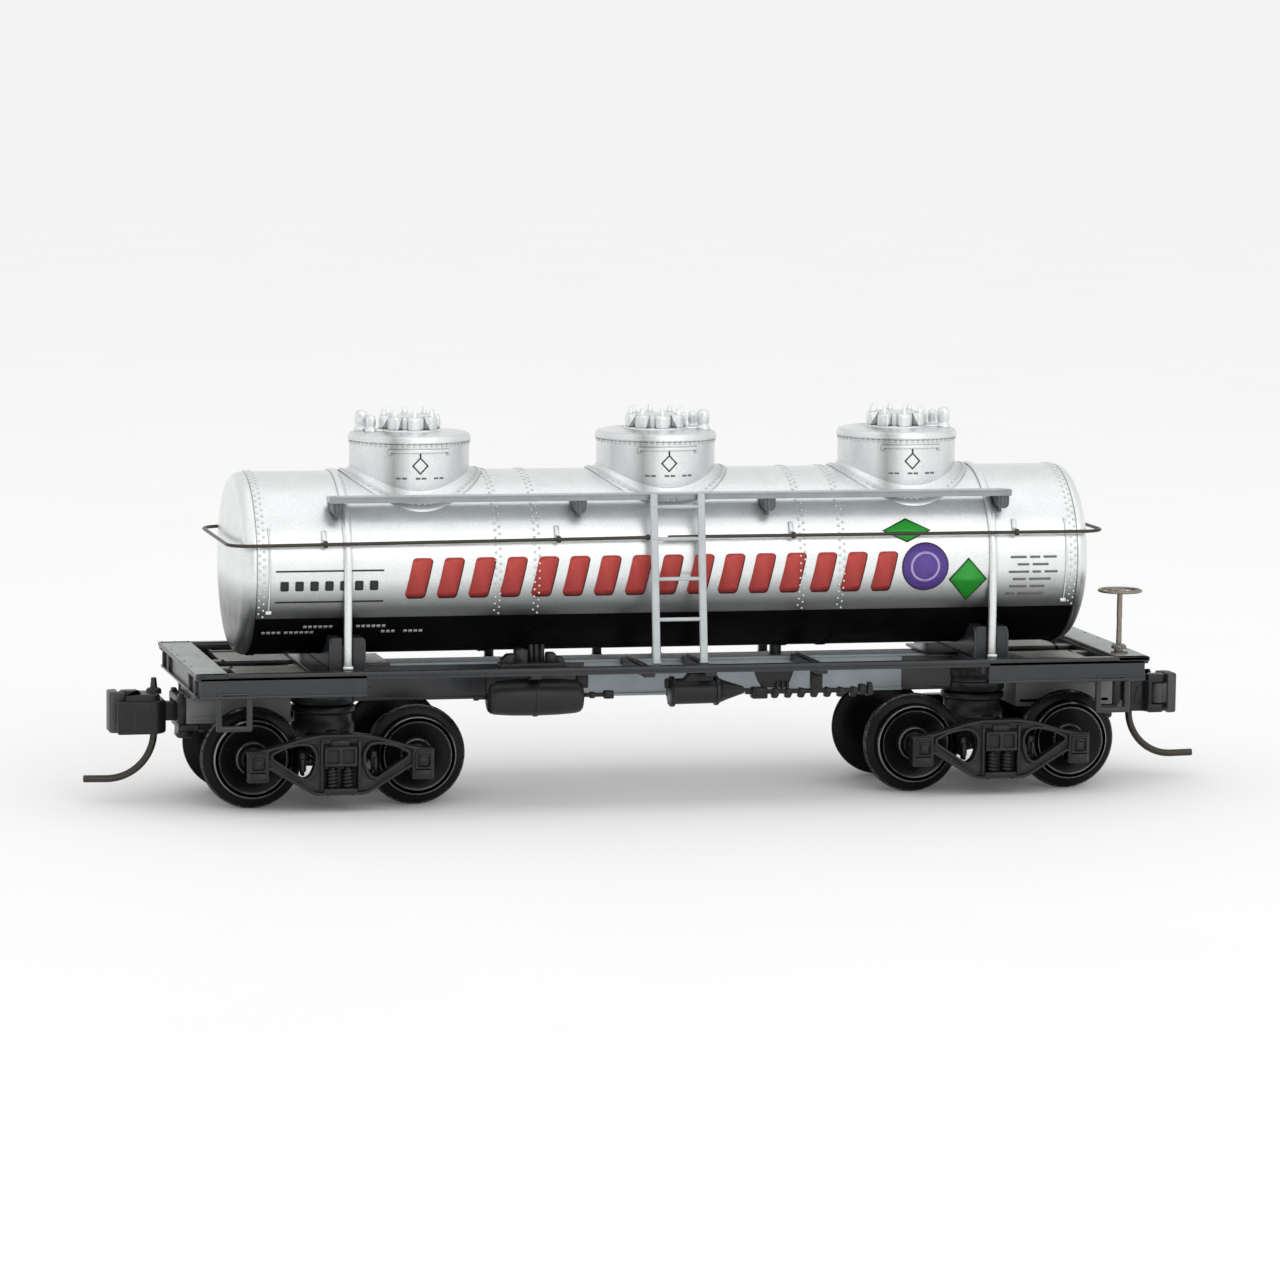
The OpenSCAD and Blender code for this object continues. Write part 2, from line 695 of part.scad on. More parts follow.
// The pull rod and its lever from the cylinder towards the brake end, with a row of links.
module brake_rigging() {
    rod_z = 7.10;
    rod_r = 0.17;
    links = 7;
    link_pitch = 0.90;
    link_x = 6.60;
    color([0.10, 0.10, 0.11]) {
        bar_x(cylinder_x + 3.5, 13.5, rod_r, brake_y, rod_z + 0.2);
        for (i = [0 : links - 1])
            box([link_x + i * link_pitch, brake_y - 0.28, rod_z - 0.22],
                [link_x + i * link_pitch + 0.5, brake_y + 0.28, rod_z + 0.45]);
        box([5.2, brake_y - 0.4, rod_z - 0.25], [6.2, brake_y + 0.4, rod_z + 0.55]);
        box([9.25, brake_y - 0.25, rod_z], [10.05, brake_y + 0.25, crossbearer_z]);
        box([13.1, brake_y - 0.3, rod_z - 0.2], [13.6, brake_y + 0.3, rod_z + 0.6]);
    }
}

// ---- trucks ----

// Outline of one side frame, middle at the kingpin.
module side_frame_outline() {
    for (flip = [0, 1]) mirror([flip, 0, 0]) polygon([
        [-eps, 1.15], [1.62, 1.15], [4.72, 3.02], [4.72, 2.10], [6.16, 2.10], [6.16, 4.05],
        [4.70, 4.28], [2.35, 4.96], [1.30, 5.13], [-eps, 5.13]]);
}

module side_frame_windows() {
    for (flip = [0, 1]) mirror([flip, 0, 0]) polygon([
        [4.45, 3.62], [4.50, 3.86], [3.60, 4.32], [2.60, 4.50], [1.95, 4.42], [1.62, 3.90],
        [1.66, 3.10], [1.95, 2.45], [2.35, 2.22]]);
}

module side_frame() {
    mid = (side_frame_in + side_frame_out) / 2;
    difference() {
        union() {
            slab_xz(side_frame_in, side_frame_out - 0.22) difference() {
                side_frame_outline();
                side_frame_windows();
            }
            slab_xz(mid, side_frame_out) difference() {
                side_frame_outline();
                side_frame_windows();
                for (flip = [0, 1]) mirror([flip, 0, 0]) translate([1.32, 1.62]) square([0.12, 2.9]);
            }
            box([-1.05, side_frame_out - 0.2, 3.07], [1.05, side_frame_out + 0.12, 4.37]);
            for (x = [-half_wheelbase, half_wheelbase]) {
                box([x - 0.72, side_frame_in, 2.10], [x + 0.72, axle_box_out - 0.12, 4.10]);
                box([x - 0.55, side_frame_in, 2.75], [x + 0.55, axle_box_out, 3.95]);
            }
        }
        box([-1.12, mid, 1.58], [1.12, side_frame_out + 1, 3.02]);
        for (x = [-half_wheelbase, half_wheelbase])
            bar_y(side_frame_in - 1, journal_end + 0.10, journal_r + running_gap, x, axle_z);
    }
    for (x = [-0.52, 0.52])
        bar_z(1.57, 3.03, 0.42, x, side_frame_out - 0.42);
    // Brake shoes, beside the treads and clear of the flanges.
    for (flip = [0, 1]) mirror([flip, 0, 0])
        box([2.12, 4.50, 2.60], [2.58, side_frame_in + eps, 3.90]);
}

module truck_frame(end) {
    half_x = 1.50;
    half_y = side_frame_in + eps;
    color([0.10, 0.10, 0.11]) at_end(end) translate([truck_x, 0, 0]) difference() {
        union() {
            side_frame();
            mirror([0, 1, 0]) side_frame();
            box([-half_x, -half_y, truck_bolster_z], [half_x, half_y, truck_bolster_top]);
            bar_z(truck_bolster_top - eps, centre_plate_z - running_gap, truck_column_r);
            for (x = [-1.75, 1.75])
                box([x - 0.2, -half_y, 3.05], [x + 0.2, half_y, 3.45]);
        }
        bar_z(truck_bolster_z - 1, centre_plate_z + 1, kingpin_r + running_gap);
    }
}

module axle(n) {
    half = [[0, wheel_back, axle_r], [wheel_back, wheel_back + wheel_w + 0.02, wheel_seat_r],
        [wheel_back + wheel_w, journal_end - 0.2, journal_r]];
    color([0.25, 0.25, 0.26]) translate([axle_x[n - 1], 0, axle_z]) for (side = [0, 1]) mirror([0, side, 0]) {
        for (s = half) bar_y(s[0], s[1], s[2]);
        translate([0, journal_end - 0.2, 0]) rotate([-90, 0, 0]) cylinder(r1 = journal_r, r2 = 0.08, h = 0.2);
    }
}

module wheel() {
    rim_in = 2.14;
    plate = 0.70;
    hub_r = 0.95;
    rotate([-90, 0, 0]) rotate_extrude() polygon([
        [wheel_seat_r, 0], [flange_r - 0.12, 0], [flange_r, 0.14], [flange_r, 0.28], [flange_r - 0.16, 0.43],
        [tread_r + 0.06, 0.55], [tread_r - 0.03, wheel_w - 0.08], [tread_r - 0.11, wheel_w],
        [rim_in, wheel_w], [rim_in - 0.12, plate + 0.1], [hub_r + 0.1, plate], [hub_r, wheel_w - 0.1],
        [wheel_seat_r, wheel_w - 0.1]]);
}

module wheel_pair(n) {
    color([0.12, 0.12, 0.13]) translate([axle_x[n - 1], 0, axle_z]) for (side = [0, 1])
        mirror([0, side, 0]) translate([0, wheel_back, 0]) wheel();
}

// ---- couplers ----
// Drawn from the pivot, with +X outwards and +Y to the guard arm's side.

module coupler_head(end) {
    slot_low = head_low + ear_t;
    slot_high = head_high - ear_t;
    color([0.10, 0.10, 0.11]) at_end(end) translate([coupler_pivot_x, 0, 0]) difference() {
        union() {
            bar_z(coupler_z - shank_half_h, coupler_z + shank_half_h, 1.05);
            box([0, -shank_half_w, coupler_z - shank_half_h], [4.2, shank_half_w, coupler_z + shank_half_h]);
            intersection() {
                union() {
                    translate([0, 0, head_low]) linear_extrude(head_high - head_low) polygon([
                        [4.0, -0.9], [5.35, -0.9], [5.6, -1.55], [5.9, -1.55], [5.9, 1.1],
                        [6.6, 1.15], [7.3, 1.3], [7.3, 1.6], [4.6, 1.6], [4.0, 0.9]]);
                    box([knuckle_u - 0.6, knuckle_v - knuckle_hub_r, head_low],
                        [knuckle_u, knuckle_v + knuckle_hub_r, head_high]);
                    bar_z(head_low, head_high, knuckle_hub_r, knuckle_u, knuckle_v);
                }
                slab_xz(-3, 3) polygon([
                    [3.5, head_low + 0.2], [4.3, head_low], [7.6, head_low],
                    [7.6, head_high - 0.75], [6.9, head_high], [4.6, head_high], [3.5, head_high - 0.7]]);
            }
        }
        bar_z(0, 12, post_r + running_gap, 0, 0);
        box([1.25, -0.28, 0], [3.05, 0.28, 12]);
        bar_z(slot_low, slot_high, knuckle_hub_r + 0.12, knuckle_u, knuckle_v);
        box([knuckle_u - 0.1, knuckle_v - 0.7, slot_low], [knuckle_u + 1, knuckle_v + 0.7, slot_high]);
        bar_z(0, 12, knuckle_pin_r, knuckle_u, knuckle_v);
        bar_z(0, 12, trip_pin_r, trip_pin_u, 0);
    }
}

// The knuckle: a hub between the head's ears, a neck, and the full-height pulling block.
module knuckle(end) {
    low = head_low + ear_t + 0.05;
    high = head_high - ear_t - 0.05;
    block_u = knuckle_u + 0.62;
    color([0.26, 0.26, 0.27]) at_end(end) translate([coupler_pivot_x, 0, 0]) difference() {
        union() {
            bar_z(low, high, knuckle_hub_r, knuckle_u, knuckle_v);
            box([knuckle_u, knuckle_v - 0.35, low], [block_u + 0.1, knuckle_v + 0.35, high]);
            translate([0, 0, head_low - 0.04]) linear_extrude(head_high - head_low + 0.08) polygon([
                [block_u, knuckle_v - 0.5], [pull_u, knuckle_v - 0.35], [pull_u, 0.05], [pull_u - 0.25, 0.25],
                [block_u - 0.35, 0.25], [block_u - 0.35, -0.1], [block_u, -0.25]]);
        }
        bar_z(0, 12, knuckle_pin_r + 0.04, knuckle_u, knuckle_v);
    }
}

module knuckle_pin(end) {
    color([0.35, 0.35, 0.36]) at_end(end)
        bar_z(head_low + 0.05, head_high - 0.05, knuckle_pin_r, coupler_pivot_x + knuckle_u, knuckle_v);
}

// The coil that keeps the coupler pushed out, in the shank's slot, as the sleeve that its turns fill.
module coupler_spring(end) {
    color([0.70, 0.70, 0.72]) at_end(end) translate([coupler_pivot_x, 0, 0]) difference() {
        bar_x(1.30, 3.00, 0.25, 0, coupler_z);
        bar_x(1.00, 3.30, 0.13, 0, coupler_z);
    }
}

// Stands through the head and curves outwards just above the rails: a round wire swept along its rings.
module trip_pin(end) {
    sides = 12;
    last = len(trip_pin_rings) - 1;
    points = [for (ring = trip_pin_rings, i = [0 : sides - 1]) let (t = 360 * i / sides, r = trip_pin_r) [
        ring[0] + r * cos(t) * cos(ring[2]), r * sin(t), ring[1] + r * cos(t) * sin(ring[2])]];
    walls = [for (k = [0 : last - 1], i = [0 : sides - 1]) let (j = (i + 1) % sides)
        [k * sides + i, k * sides + j, (k + 1) * sides + j, (k + 1) * sides + i]];
    caps = [[for (i = [sides - 1 : -1 : 0]) i], [for (i = [0 : sides - 1]) last * sides + i]];
    color([0.16, 0.16, 0.16]) at_end(end) translate([coupler_pivot_x + trip_pin_u, 0, 0])
        polyhedron(points, concat(walls, caps));
}

underframe();
centre_sill();
stirrup_steps();
coupler_pocket(end_a);  // coupler_pocket_a
coupler_pocket(end_b);  // coupler_pocket_b
pocket_lid(end_a);  // pocket_lid_a
pocket_lid(end_b);  // pocket_lid_b
pocket_screws();
kingpin(end_a);  // kingpin_a
kingpin(end_b);  // kingpin_b
tank_saddle(end_a);  // tank_saddle_a
tank_saddle(end_b);  // tank_saddle_b
tank_barrel();
tank_head(end_a);  // tank_head_a
tank_head(end_b);  // tank_head_b
tank_weight();
tank_screws();
dome(-dome_x);  // dome_a
dome(0);  // dome_mid
dome(dome_x);  // dome_b
dome_fittings(-dome_x, 180);  // dome_fittings_a
dome_fittings(0, 0);  // dome_fittings_mid
dome_fittings(dome_x, 0);  // dome_fittings_b
tank_band(end_a);  // tank_band_a
tank_band(end_b);  // tank_band_b
walkway(near);  // walkway_near
walkway(far);  // walkway_far
walkway_brackets();
ladder(near);  // ladder_near
ladder(far);  // ladder_far
handrail(end_a);  // handrail_a
handrail(end_b);  // handrail_b
handrail_stanchions();
brake_staff();
brake_wheel();
air_reservoir();
brake_cylinder();
brake_valve();
brake_rigging();
truck_frame(end_a);  // truck_frame_a
truck_frame(end_b);  // truck_frame_b
axle(1);  // axle_1
axle(2);  // axle_2
axle(3);  // axle_3
axle(4);  // axle_4
wheel_pair(1);  // wheel_pair_1
wheel_pair(2);  // wheel_pair_2
wheel_pair(3);  // wheel_pair_3
wheel_pair(4);  // wheel_pair_4
coupler_head(end_a);  // coupler_head_a
coupler_head(end_b);  // coupler_head_b
coupler_spring(end_a);  // coupler_spring_a
coupler_spring(end_b);  // coupler_spring_b
trip_pin(end_a);  // trip_pin_a
trip_pin(end_b);  // trip_pin_b
knuckle(end_a);  // knuckle_a
knuckle(end_b);  // knuckle_b
knuckle_pin(end_a);  // knuckle_pin_a
knuckle_pin(end_b);  // knuckle_pin_b
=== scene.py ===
import json
import math
from itertools import product

import bmesh
import bpy
from mathutils import Matrix, Vector
from mathutils.geometry import tessellate_polygon

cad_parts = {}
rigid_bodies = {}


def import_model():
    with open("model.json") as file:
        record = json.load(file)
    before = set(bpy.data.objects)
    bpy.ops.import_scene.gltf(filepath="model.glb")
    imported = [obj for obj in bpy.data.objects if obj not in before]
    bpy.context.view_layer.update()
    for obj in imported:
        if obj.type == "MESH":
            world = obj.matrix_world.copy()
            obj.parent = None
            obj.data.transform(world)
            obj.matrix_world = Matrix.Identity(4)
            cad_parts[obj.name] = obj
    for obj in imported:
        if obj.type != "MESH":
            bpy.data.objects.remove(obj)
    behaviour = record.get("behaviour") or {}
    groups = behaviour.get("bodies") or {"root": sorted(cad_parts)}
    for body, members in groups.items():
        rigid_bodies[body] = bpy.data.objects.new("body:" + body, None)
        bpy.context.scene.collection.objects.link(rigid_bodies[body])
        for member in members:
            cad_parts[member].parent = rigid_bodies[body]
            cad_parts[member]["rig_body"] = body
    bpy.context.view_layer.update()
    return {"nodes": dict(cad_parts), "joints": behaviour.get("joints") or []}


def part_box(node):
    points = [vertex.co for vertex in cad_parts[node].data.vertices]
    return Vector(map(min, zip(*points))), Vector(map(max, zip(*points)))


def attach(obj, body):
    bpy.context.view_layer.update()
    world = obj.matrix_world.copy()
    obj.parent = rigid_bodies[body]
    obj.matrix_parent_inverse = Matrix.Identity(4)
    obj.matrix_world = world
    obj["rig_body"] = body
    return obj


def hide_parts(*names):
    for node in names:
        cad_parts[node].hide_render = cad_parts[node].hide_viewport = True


# The look of a three-dome tank wagon, 1:160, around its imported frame.
# Sizes are millimetres, and make() turns them into metres. Only the floor's own size is in metres.

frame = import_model()

MM = 0.001
TURN = {"a": Matrix.Rotation(math.pi, 4, "Z"), "b": Matrix()}
ENDS = ("a", "b")
BOTH = (-1, 1)


def span(node):
    """Lowest and highest corner of a CAD node, in millimetres."""
    low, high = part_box(node)
    return low / MM, high / MM


def middle(node):
    low, high = span(node)
    return (low + high) / 2


# ---------------------------------------------------------------- sizes from the frame

FRAME_HIGH = span("underframe")[1]
FRAME_END, HALF_W, SILL_TOP = FRAME_HIGH.x, FRAME_HIGH.y, FRAME_HIGH.z
BARREL_LOW, BARREL_HIGH = span("tank_barrel")
TANK_R = (BARREL_HIGH.y - BARREL_LOW.y) / 2
TANK_Z = (BARREL_HIGH.z + BARREL_LOW.z) / 2
BARREL_END = BARREL_HIGH.x
HEAD_END = span("tank_head_b")[1].x
DOMES = {"a": middle("dome_a").x, "mid": 0.0, "b": middle("dome_b").x}
DOME_TOP = span("dome_mid")[1].z
FLANGE_OUT = (span("dome_mid")[1].x - span("dome_mid")[0].x) / 2
SADDLE_FLANGE = 0.795
DOME_R = FLANGE_OUT - SADDLE_FLANGE
WALK_LOW, WALK_HIGH = span("walkway_far")
BAND_X = middle("tank_band_b").x
TRUCK_X = middle("truck_frame_b").x
WHEEL_LOW, WHEEL_HIGH = span("wheel_pair_4")
AXLE_Z = (WHEEL_LOW.z + WHEEL_HIGH.z) / 2
FLANGE_R = (WHEEL_HIGH.z - WHEEL_LOW.z) / 2
FLANGE_DEPTH = 0.70
TREAD_R = FLANGE_R - FLANGE_DEPTH
WHEEL_OUT = WHEEL_HIGH.y
AXLES = [middle(f"axle_{n}").x for n in range(1, 5)]
HALF_BASE = (AXLES[3] - AXLES[2]) / 2
PIVOT_X = next(j for j in frame["joints"] if j["name"] == "coupler_b_swing")["pos_m"][0] / MM
COUPLER_Z = middle("coupler_spring_b").z

PAINT_EDGE_Z = 12.58
BRACKET_X = (22.53, 6.4)
STANCHION_X = (23.4, 7.95)
CLIP_REACH, WIRE_REACH = 0.26, 0.12
RAIL_Y = span("handrail_stanchions")[1].y - CLIP_REACH
RAIL_END = span("handrail_b")[1].x - WIRE_REACH
EDGE = 0.06


# ---------------------------------------------------------------- building forms

class Form:
    """Closed shells in millimetres, gathered until they become one piece."""

    def __init__(self, place=None):
        self.verts, self.faces, self.paints = [], [], []
        self.place = place or Matrix()
        self.paint = 0

    def add(self, verts, faces, place=None):
        first = len(self.verts)
        moved = self.place @ place if place else self.place
        self.verts += [moved @ Vector(v) for v in verts]
        self.faces += [[first + i for i in face] for face in faces]
        self.paints += [self.paint] * len(faces)

    def block(self, one, other, edge=EDGE, place=None):
        """A box between two opposite corners, in either order, with its edges bevelled."""
        half = [abs(b - a) / 2 for a, b in zip(one, other)]
        mid = [(a + b) / 2 for a, b in zip(one, other)]
        edge = min(edge, 0.4 * min(half))
        corners = list(product(BOTH, repeat=3))
        index = {}
        verts = []
        for corner in corners:
            for axis in range(3):
                index[corner, axis] = len(verts)
                reach = [half[k] if k == axis else half[k] - edge for k in range(3)]
                verts.append([mid[k] + corner[k] * reach[k] for k in range(3)])
        faces = [[index[corner, axis] for axis in range(3)] for corner in corners]
        for axis in range(3):
            u, v = [k for k in range(3) if k != axis]

            def at(u_sign, v_sign, axis_sign, tag):
                corner = [0, 0, 0]
                corner[u], corner[v], corner[axis] = u_sign, v_sign, axis_sign
                return index[tuple(corner), tag]

            for s in BOTH:
                faces.append([at(-1, -1, s, axis), at(1, -1, s, axis), at(1, 1, s, axis), at(-1, 1, s, axis)])
            for su, sv in product(BOTH, repeat=2):
                faces.append([at(su, sv, -1, u), at(su, sv, 1, u), at(su, sv, 1, v), at(su, sv, -1, v)])
        self.add(verts, faces, place)

    def prism(self, outline, start, end, axis="y", edge=EDGE, holes=(), place=None):
        """An outline, with its holes, given thickness along an axis and bevelled round both faces.
        The outline's two numbers are x and z for axis y, x and y for axis z, y and z for axis x."""
        order = {"y": (0, 2, 1), "z": (0, 1, 2), "x": (1, 2, 0)}[axis]
        loops = [wound(outline, True)] + [wound(hole, False) for hole in holes]
        edge = min(edge, 0.45 * abs(end - start))
        levels = [(start, edge), (start + edge, 0.0), (end - edge, 0.0), (end, edge)]
        verts, faces, caps = [], [], ([], [])
        for loop in loops:
            rings = []
            for height, shrink in levels:
                rings.append(range(len(verts), len(verts) + len(loop)))
                for u, v in inset(loop, shrink):
                    point = [0.0, 0.0, 0.0]
                    point[order[0]], point[order[1]], point[order[2]] = u, v, height
                    verts.append(point)
            for lower, upper in zip(rings, rings[1:]):
                faces += walls(lower, upper)
            caps[0].append(rings[0])
            caps[1].append(rings[-1])
        for cap in caps:
            if holes:
                flat = [i for ring in cap for i in ring]
                loops_3d = [[Vector(verts[i]) for i in ring] for ring in cap]
                faces += [[flat[i] for i in triangle] for triangle in tessellate_polygon(loops_3d)]
            else:
                faces.append(list(cap[0]))
        self.add(verts, faces, place)

    def lathe(self, profile, sides=48, place=None, angles=None):
        """A solid turned about local Z from (radius, height) points.
        A profile with no point on the axis makes a ring."""
        angles = angles or turns(sides)
        verts, rings = [], []
        for radius, height in profile:
            count = 1 if radius == 0 else len(angles)
            rings.append(range(len(verts), len(verts) + count))
            verts += [(radius * math.cos(a), radius * math.sin(a), height) for a in angles[:count]]
        pairs = list(zip(rings, rings[1:]))
        if profile[0][0] > 0 and profile[-1][0] > 0:
            pairs.append((rings[-1], rings[0]))
        faces = [face for lower, upper in pairs for face in walls(lower, upper)]
        self.add(verts, faces, place)

    def rod(self, start, end, radius, sides=20):
        """A round bar between two points, with its rims bevelled."""
        start, end = Vector(start), Vector(end)
        length = (end - start).length
        edge = min(0.04, radius * 0.5, length * 0.3)
        place = facing(start, end - start)
        self.lathe([(0, 0), (radius - edge, 0), (radius, edge), (radius, length - edge),
                    (radius - edge, length), (0, length)], sides, place)

    def sweep(self, path, section, side=None, closed=False):
        """A section carried along a path. Its first number goes along side, its second away from both."""
        path = [Vector(p) for p in path]
        last = len(path) - 1
        rings, verts = [], []
        across = Vector(side) if side else None
        for i, point in enumerate(path):
            before = path[i - 1] if i > 0 or closed else point
            after = path[(i + 1) % len(path)] if i < last or closed else point
            along = (after - before).normalized()
            if side is None:
                guess = across if across else (Vector((0, 0, 1)) if abs(along.z) < 0.9 else Vector((1, 0, 0)))
                across = (guess - along * guess.dot(along)).normalized()
            lift = along.cross(across).normalized()
            outline = section(i / max(last, 1)) if callable(section) else section
            rings.append(range(len(verts), len(verts) + len(outline)))
            verts += [point + across * u + lift * v for u, v in outline]
        faces = [face for lower, upper in zip(rings, rings[1:]) for face in walls(lower, upper)]
        if closed:
            faces += walls(rings[-1], rings[0])
        else:
            faces += [list(rings[0]), list(rings[-1])]
        self.add(verts, faces)

    def tube(self, path, radius, sides=12, closed=False):
        self.sweep(path, circle(radius, sides), None, closed)

    def rivet(self, at, normal, radius, height):
        """A small domed head, sunk a little into its surface."""
        sunk = -0.03
        self.lathe([(0, sunk), (radius, sunk), (radius, 0.2 * height), (0.72 * radius, 0.75 * height),
                    (0, height)], 8, facing(at, normal))


def walls(lower, upper):
    """Faces between two rings of vertices, either of which may be a single point."""
    lower, upper = list(lower), list(upper)
    count = max(len(lower), len(upper))
    faces = []
    for i in range(count):
        j = (i + 1) % count
        low = [lower[i], lower[j]] if len(lower) > 1 else [lower[0]]
        high = [upper[j], upper[i]] if len(upper) > 1 else [upper[0]]
        faces.append(low + high)
    return faces


def wound(outline, outer):
    """The outline as vectors, counter-clockwise for an outer one and clockwise for a hole."""
    points = [Vector(p) for p in outline]
    area = sum(a.x * b.y - b.x * a.y for a, b in zip(points, points[1:] + points[:1]))
    return points if (area > 0) == outer else points[::-1]


def inset(loop, by):
    """A loop moved towards its own material."""
    moved = []
    for i, point in enumerate(loop):
        into = (point - loop[i - 1]).normalized()
        out = (loop[(i + 1) % len(loop)] - point).normalized()
        normals = Vector((-into.y, into.x)), Vector((-out.y, out.x))
        bisector = (normals[0] + normals[1]).normalized()
        moved.append(point + bisector * by / max(0.35, bisector.dot(normals[0])))
    return moved


def turns(count, start=0.0):
    """Equal steps round a full circle, in radians."""
    return [start + 2 * math.pi * i / count for i in range(count)]


def circle(radius, sides=12, squash=1.0):
    return [(radius * math.cos(a), radius * squash * math.sin(a)) for a in turns(sides)]


def arc(centre, radius, start, end, steps):
    """Points on an arc in the outline's plane. Angles are degrees."""
    angles = [math.radians(start + (end - start) * i / steps) for i in range(steps + 1)]
    return [(centre[0] + radius * math.cos(a), centre[1] + radius * math.sin(a)) for a in angles]


def rounded(outline, radius, steps=3):
    """The outline with each corner replaced by a short curve."""
    points = [Vector(p) for p in outline]
    made = []
    for i, corner in enumerate(points):
        before, after = points[i - 1], points[(i + 1) % len(points)]
        reach = min(radius, 0.45 * (before - corner).length, 0.45 * (after - corner).length)
        start = corner + (before - corner).normalized() * reach
        end = corner + (after - corner).normalized() * reach
        for k in range(steps + 1):
            t = k / steps
            made.append(start * (1 - t) ** 2 + corner * 2 * t * (1 - t) + end * t ** 2)
    return made


def rectangle(x0, y0, x1, y1):
    return [(x0, y0), (x1, y0), (x1, y1), (x0, y1)]


def mirrored(points):
    """The outline and its reflection across the first axis, joined at the middle."""
    return list(points) + [(-x, y) for x, y in reversed(points)]


def shift(x=0.0, y=0.0, z=0.0):
    return Matrix.Translation((x, y, z))


def facing(at, direction):
    """Moves local Z to start at a point and lie along a direction."""
    return Matrix.Translation(Vector(at)) @ Vector(direction).to_track_quat("Z", "Y").to_matrix().to_4x4()


def axis_x(x=0.0, y=0.0, z=0.0):
    """Puts a lathe's axis along +X."""
    return shift(x, y, z) @ Matrix.Rotation(math.pi / 2, 4, "Y")


def axis_y(x=0.0, y=0.0, z=0.0, sign=1):
    """Puts a lathe's axis along +Y, or along -Y."""
    return shift(x, y, z) @ Matrix.Rotation(-sign * math.pi / 2, 4, "X")


def make(name, form, paints, *nodes, sharp=50):
    """Turns a form into a piece that stands for its CAD nodes and rides on their body."""
    mesh = bpy.data.meshes.new(name)
    mesh.from_pydata([v * MM for v in form.verts], [], form.faces)
    for paint in paints:
        mesh.materials.append(paint)
    mesh.polygons.foreach_set("material_index", form.paints)
    shell = bmesh.new()
    shell.from_mesh(mesh)
    bmesh.ops.recalc_face_normals(shell, faces=shell.faces)
    shell.to_mesh(mesh)
    shell.free()
    mesh.polygons.foreach_set("use_smooth", [True] * len(mesh.polygons))
    mesh.set_sharp_from_angle(angle=math.radians(sharp))
    piece = bpy.data.objects.new(name, mesh)
    bpy.context.scene.collection.objects.link(piece)
    weighted = piece.modifiers.new("weighted_normals", "WEIGHTED_NORMAL")
    weighted.keep_sharp = True
    weighted.weight = 60
    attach(piece, frame["nodes"][nodes[0]]["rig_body"])
    return piece


def build(name, form, paints, *nodes):
    """A piece that hides the CAD nodes it stands for."""
    piece = make(name, form, paints, *nodes)
    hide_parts(*nodes)


# ---------------------------------------------------------------- materials

def new_material(name, color, metallic=0.0, specular=0.5):
    """A Principled material, with its uniform values on the shader's own sockets."""
    material = bpy.data.materials.new(name)
    material.use_nodes = True
    shader = material.node_tree.nodes["Principled BSDF"]
    shader.inputs["Base Color"].default_value = (*color, 1)
    shader.inputs["Metallic"].default_value = metallic
    shader.inputs["Specular IOR Level"].default_value = specular
    return material, material.node_tree, shader


def noise(tree, size, detail=3.0, stretch=(1, 1, 1)):
    """Noise in object space whose features are about size millimetres across."""
    coordinates = tree.nodes.new("ShaderNodeTexCoord")
    mapping = tree.nodes.new("ShaderNodeMapping")
    mapping.inputs["Scale"].default_value = stretch
    texture = tree.nodes.new("ShaderNodeTexNoise")
    texture.inputs["Scale"].default_value = 1 / (size * MM)
    texture.inputs["Detail"].default_value = detail
    tree.links.new(coordinates.outputs["Object"], mapping.inputs["Vector"])
    tree.links.new(mapping.outputs["Vector"], texture.inputs["Vector"])
    return texture.outputs["Fac"]


def ramp(tree, source, stops):
    """A colour ramp over a value; a stop is (position, grey or colour)."""
    node = tree.nodes.new("ShaderNodeValToRGB")
    elements = node.color_ramp.elements
    while len(elements) < len(stops):
        elements.new(0.5)
    for element, (position, color) in zip(elements, stops):
        element.position = position
        color = (color, color, color) if isinstance(color, (int, float)) else color
        element.color = (*color, 1)
    tree.links.new(source, node.inputs["Fac"])
    return node.outputs["Color"]


def mixed(tree, a, b, factor=1.0, blend="MIX"):
    """Two colours mixed. Each input is another node's output, or a plain colour or number."""
    mix = tree.nodes.new("ShaderNodeMix")
    mix.data_type = "RGBA"
    mix.blend_type = blend
    for socket, value in (("Factor", factor), ("A", a), ("B", b)):
        if isinstance(value, bpy.types.NodeSocket):
            tree.links.new(value, mix.inputs[socket])
        else:
            mix.inputs[socket].default_value = (*value, 1) if isinstance(value, tuple) else value
    return mix.outputs["Result"]


def add_bump(tree, shader, source, height):
    """Bump whose full height is in millimetres."""
    bump = tree.nodes.new("ShaderNodeBump")
    bump.inputs["Distance"].default_value = height * MM
    tree.links.new(source, bump.inputs["Height"])
    tree.links.new(bump.outputs["Normal"], shader.inputs["Normal"])


def scaled(color, factor):
    return tuple(min(1.0, c * factor) for c in color)


def painted_edge_highlight(tree, color_source, color):
    """Painted highlight: mixes a paler colour in where two faces meet at an edge, as if the edge caught the
    light.
    """
    amount, radius = 0.6, 0.12
    bevel = tree.nodes.new("ShaderNodeBevel")
    bevel.samples = 4
    bevel.inputs["Radius"].default_value = radius * MM
    geometry = tree.nodes.new("ShaderNodeNewGeometry")
    dot = tree.nodes.new("ShaderNodeVectorMath")
    dot.operation = "DOT_PRODUCT"
    tree.links.new(bevel.outputs["Normal"], dot.inputs[0])
    tree.links.new(geometry.outputs["Normal"], dot.inputs[1])
    mask = ramp(tree, dot.outputs["Value"], [(0.80, amount), (0.97, 0.0)])
    return mixed(tree, color_source, color, mask)


def ranged(tree, source, low, high):
    """A value stretched so that low to high becomes 0 to 1."""
    node = tree.nodes.new("ShaderNodeMapRange")
    node.inputs["From Min"].default_value = low
    node.inputs["From Max"].default_value = high
    tree.links.new(source, node.inputs["Value"])
    return node.outputs["Result"]


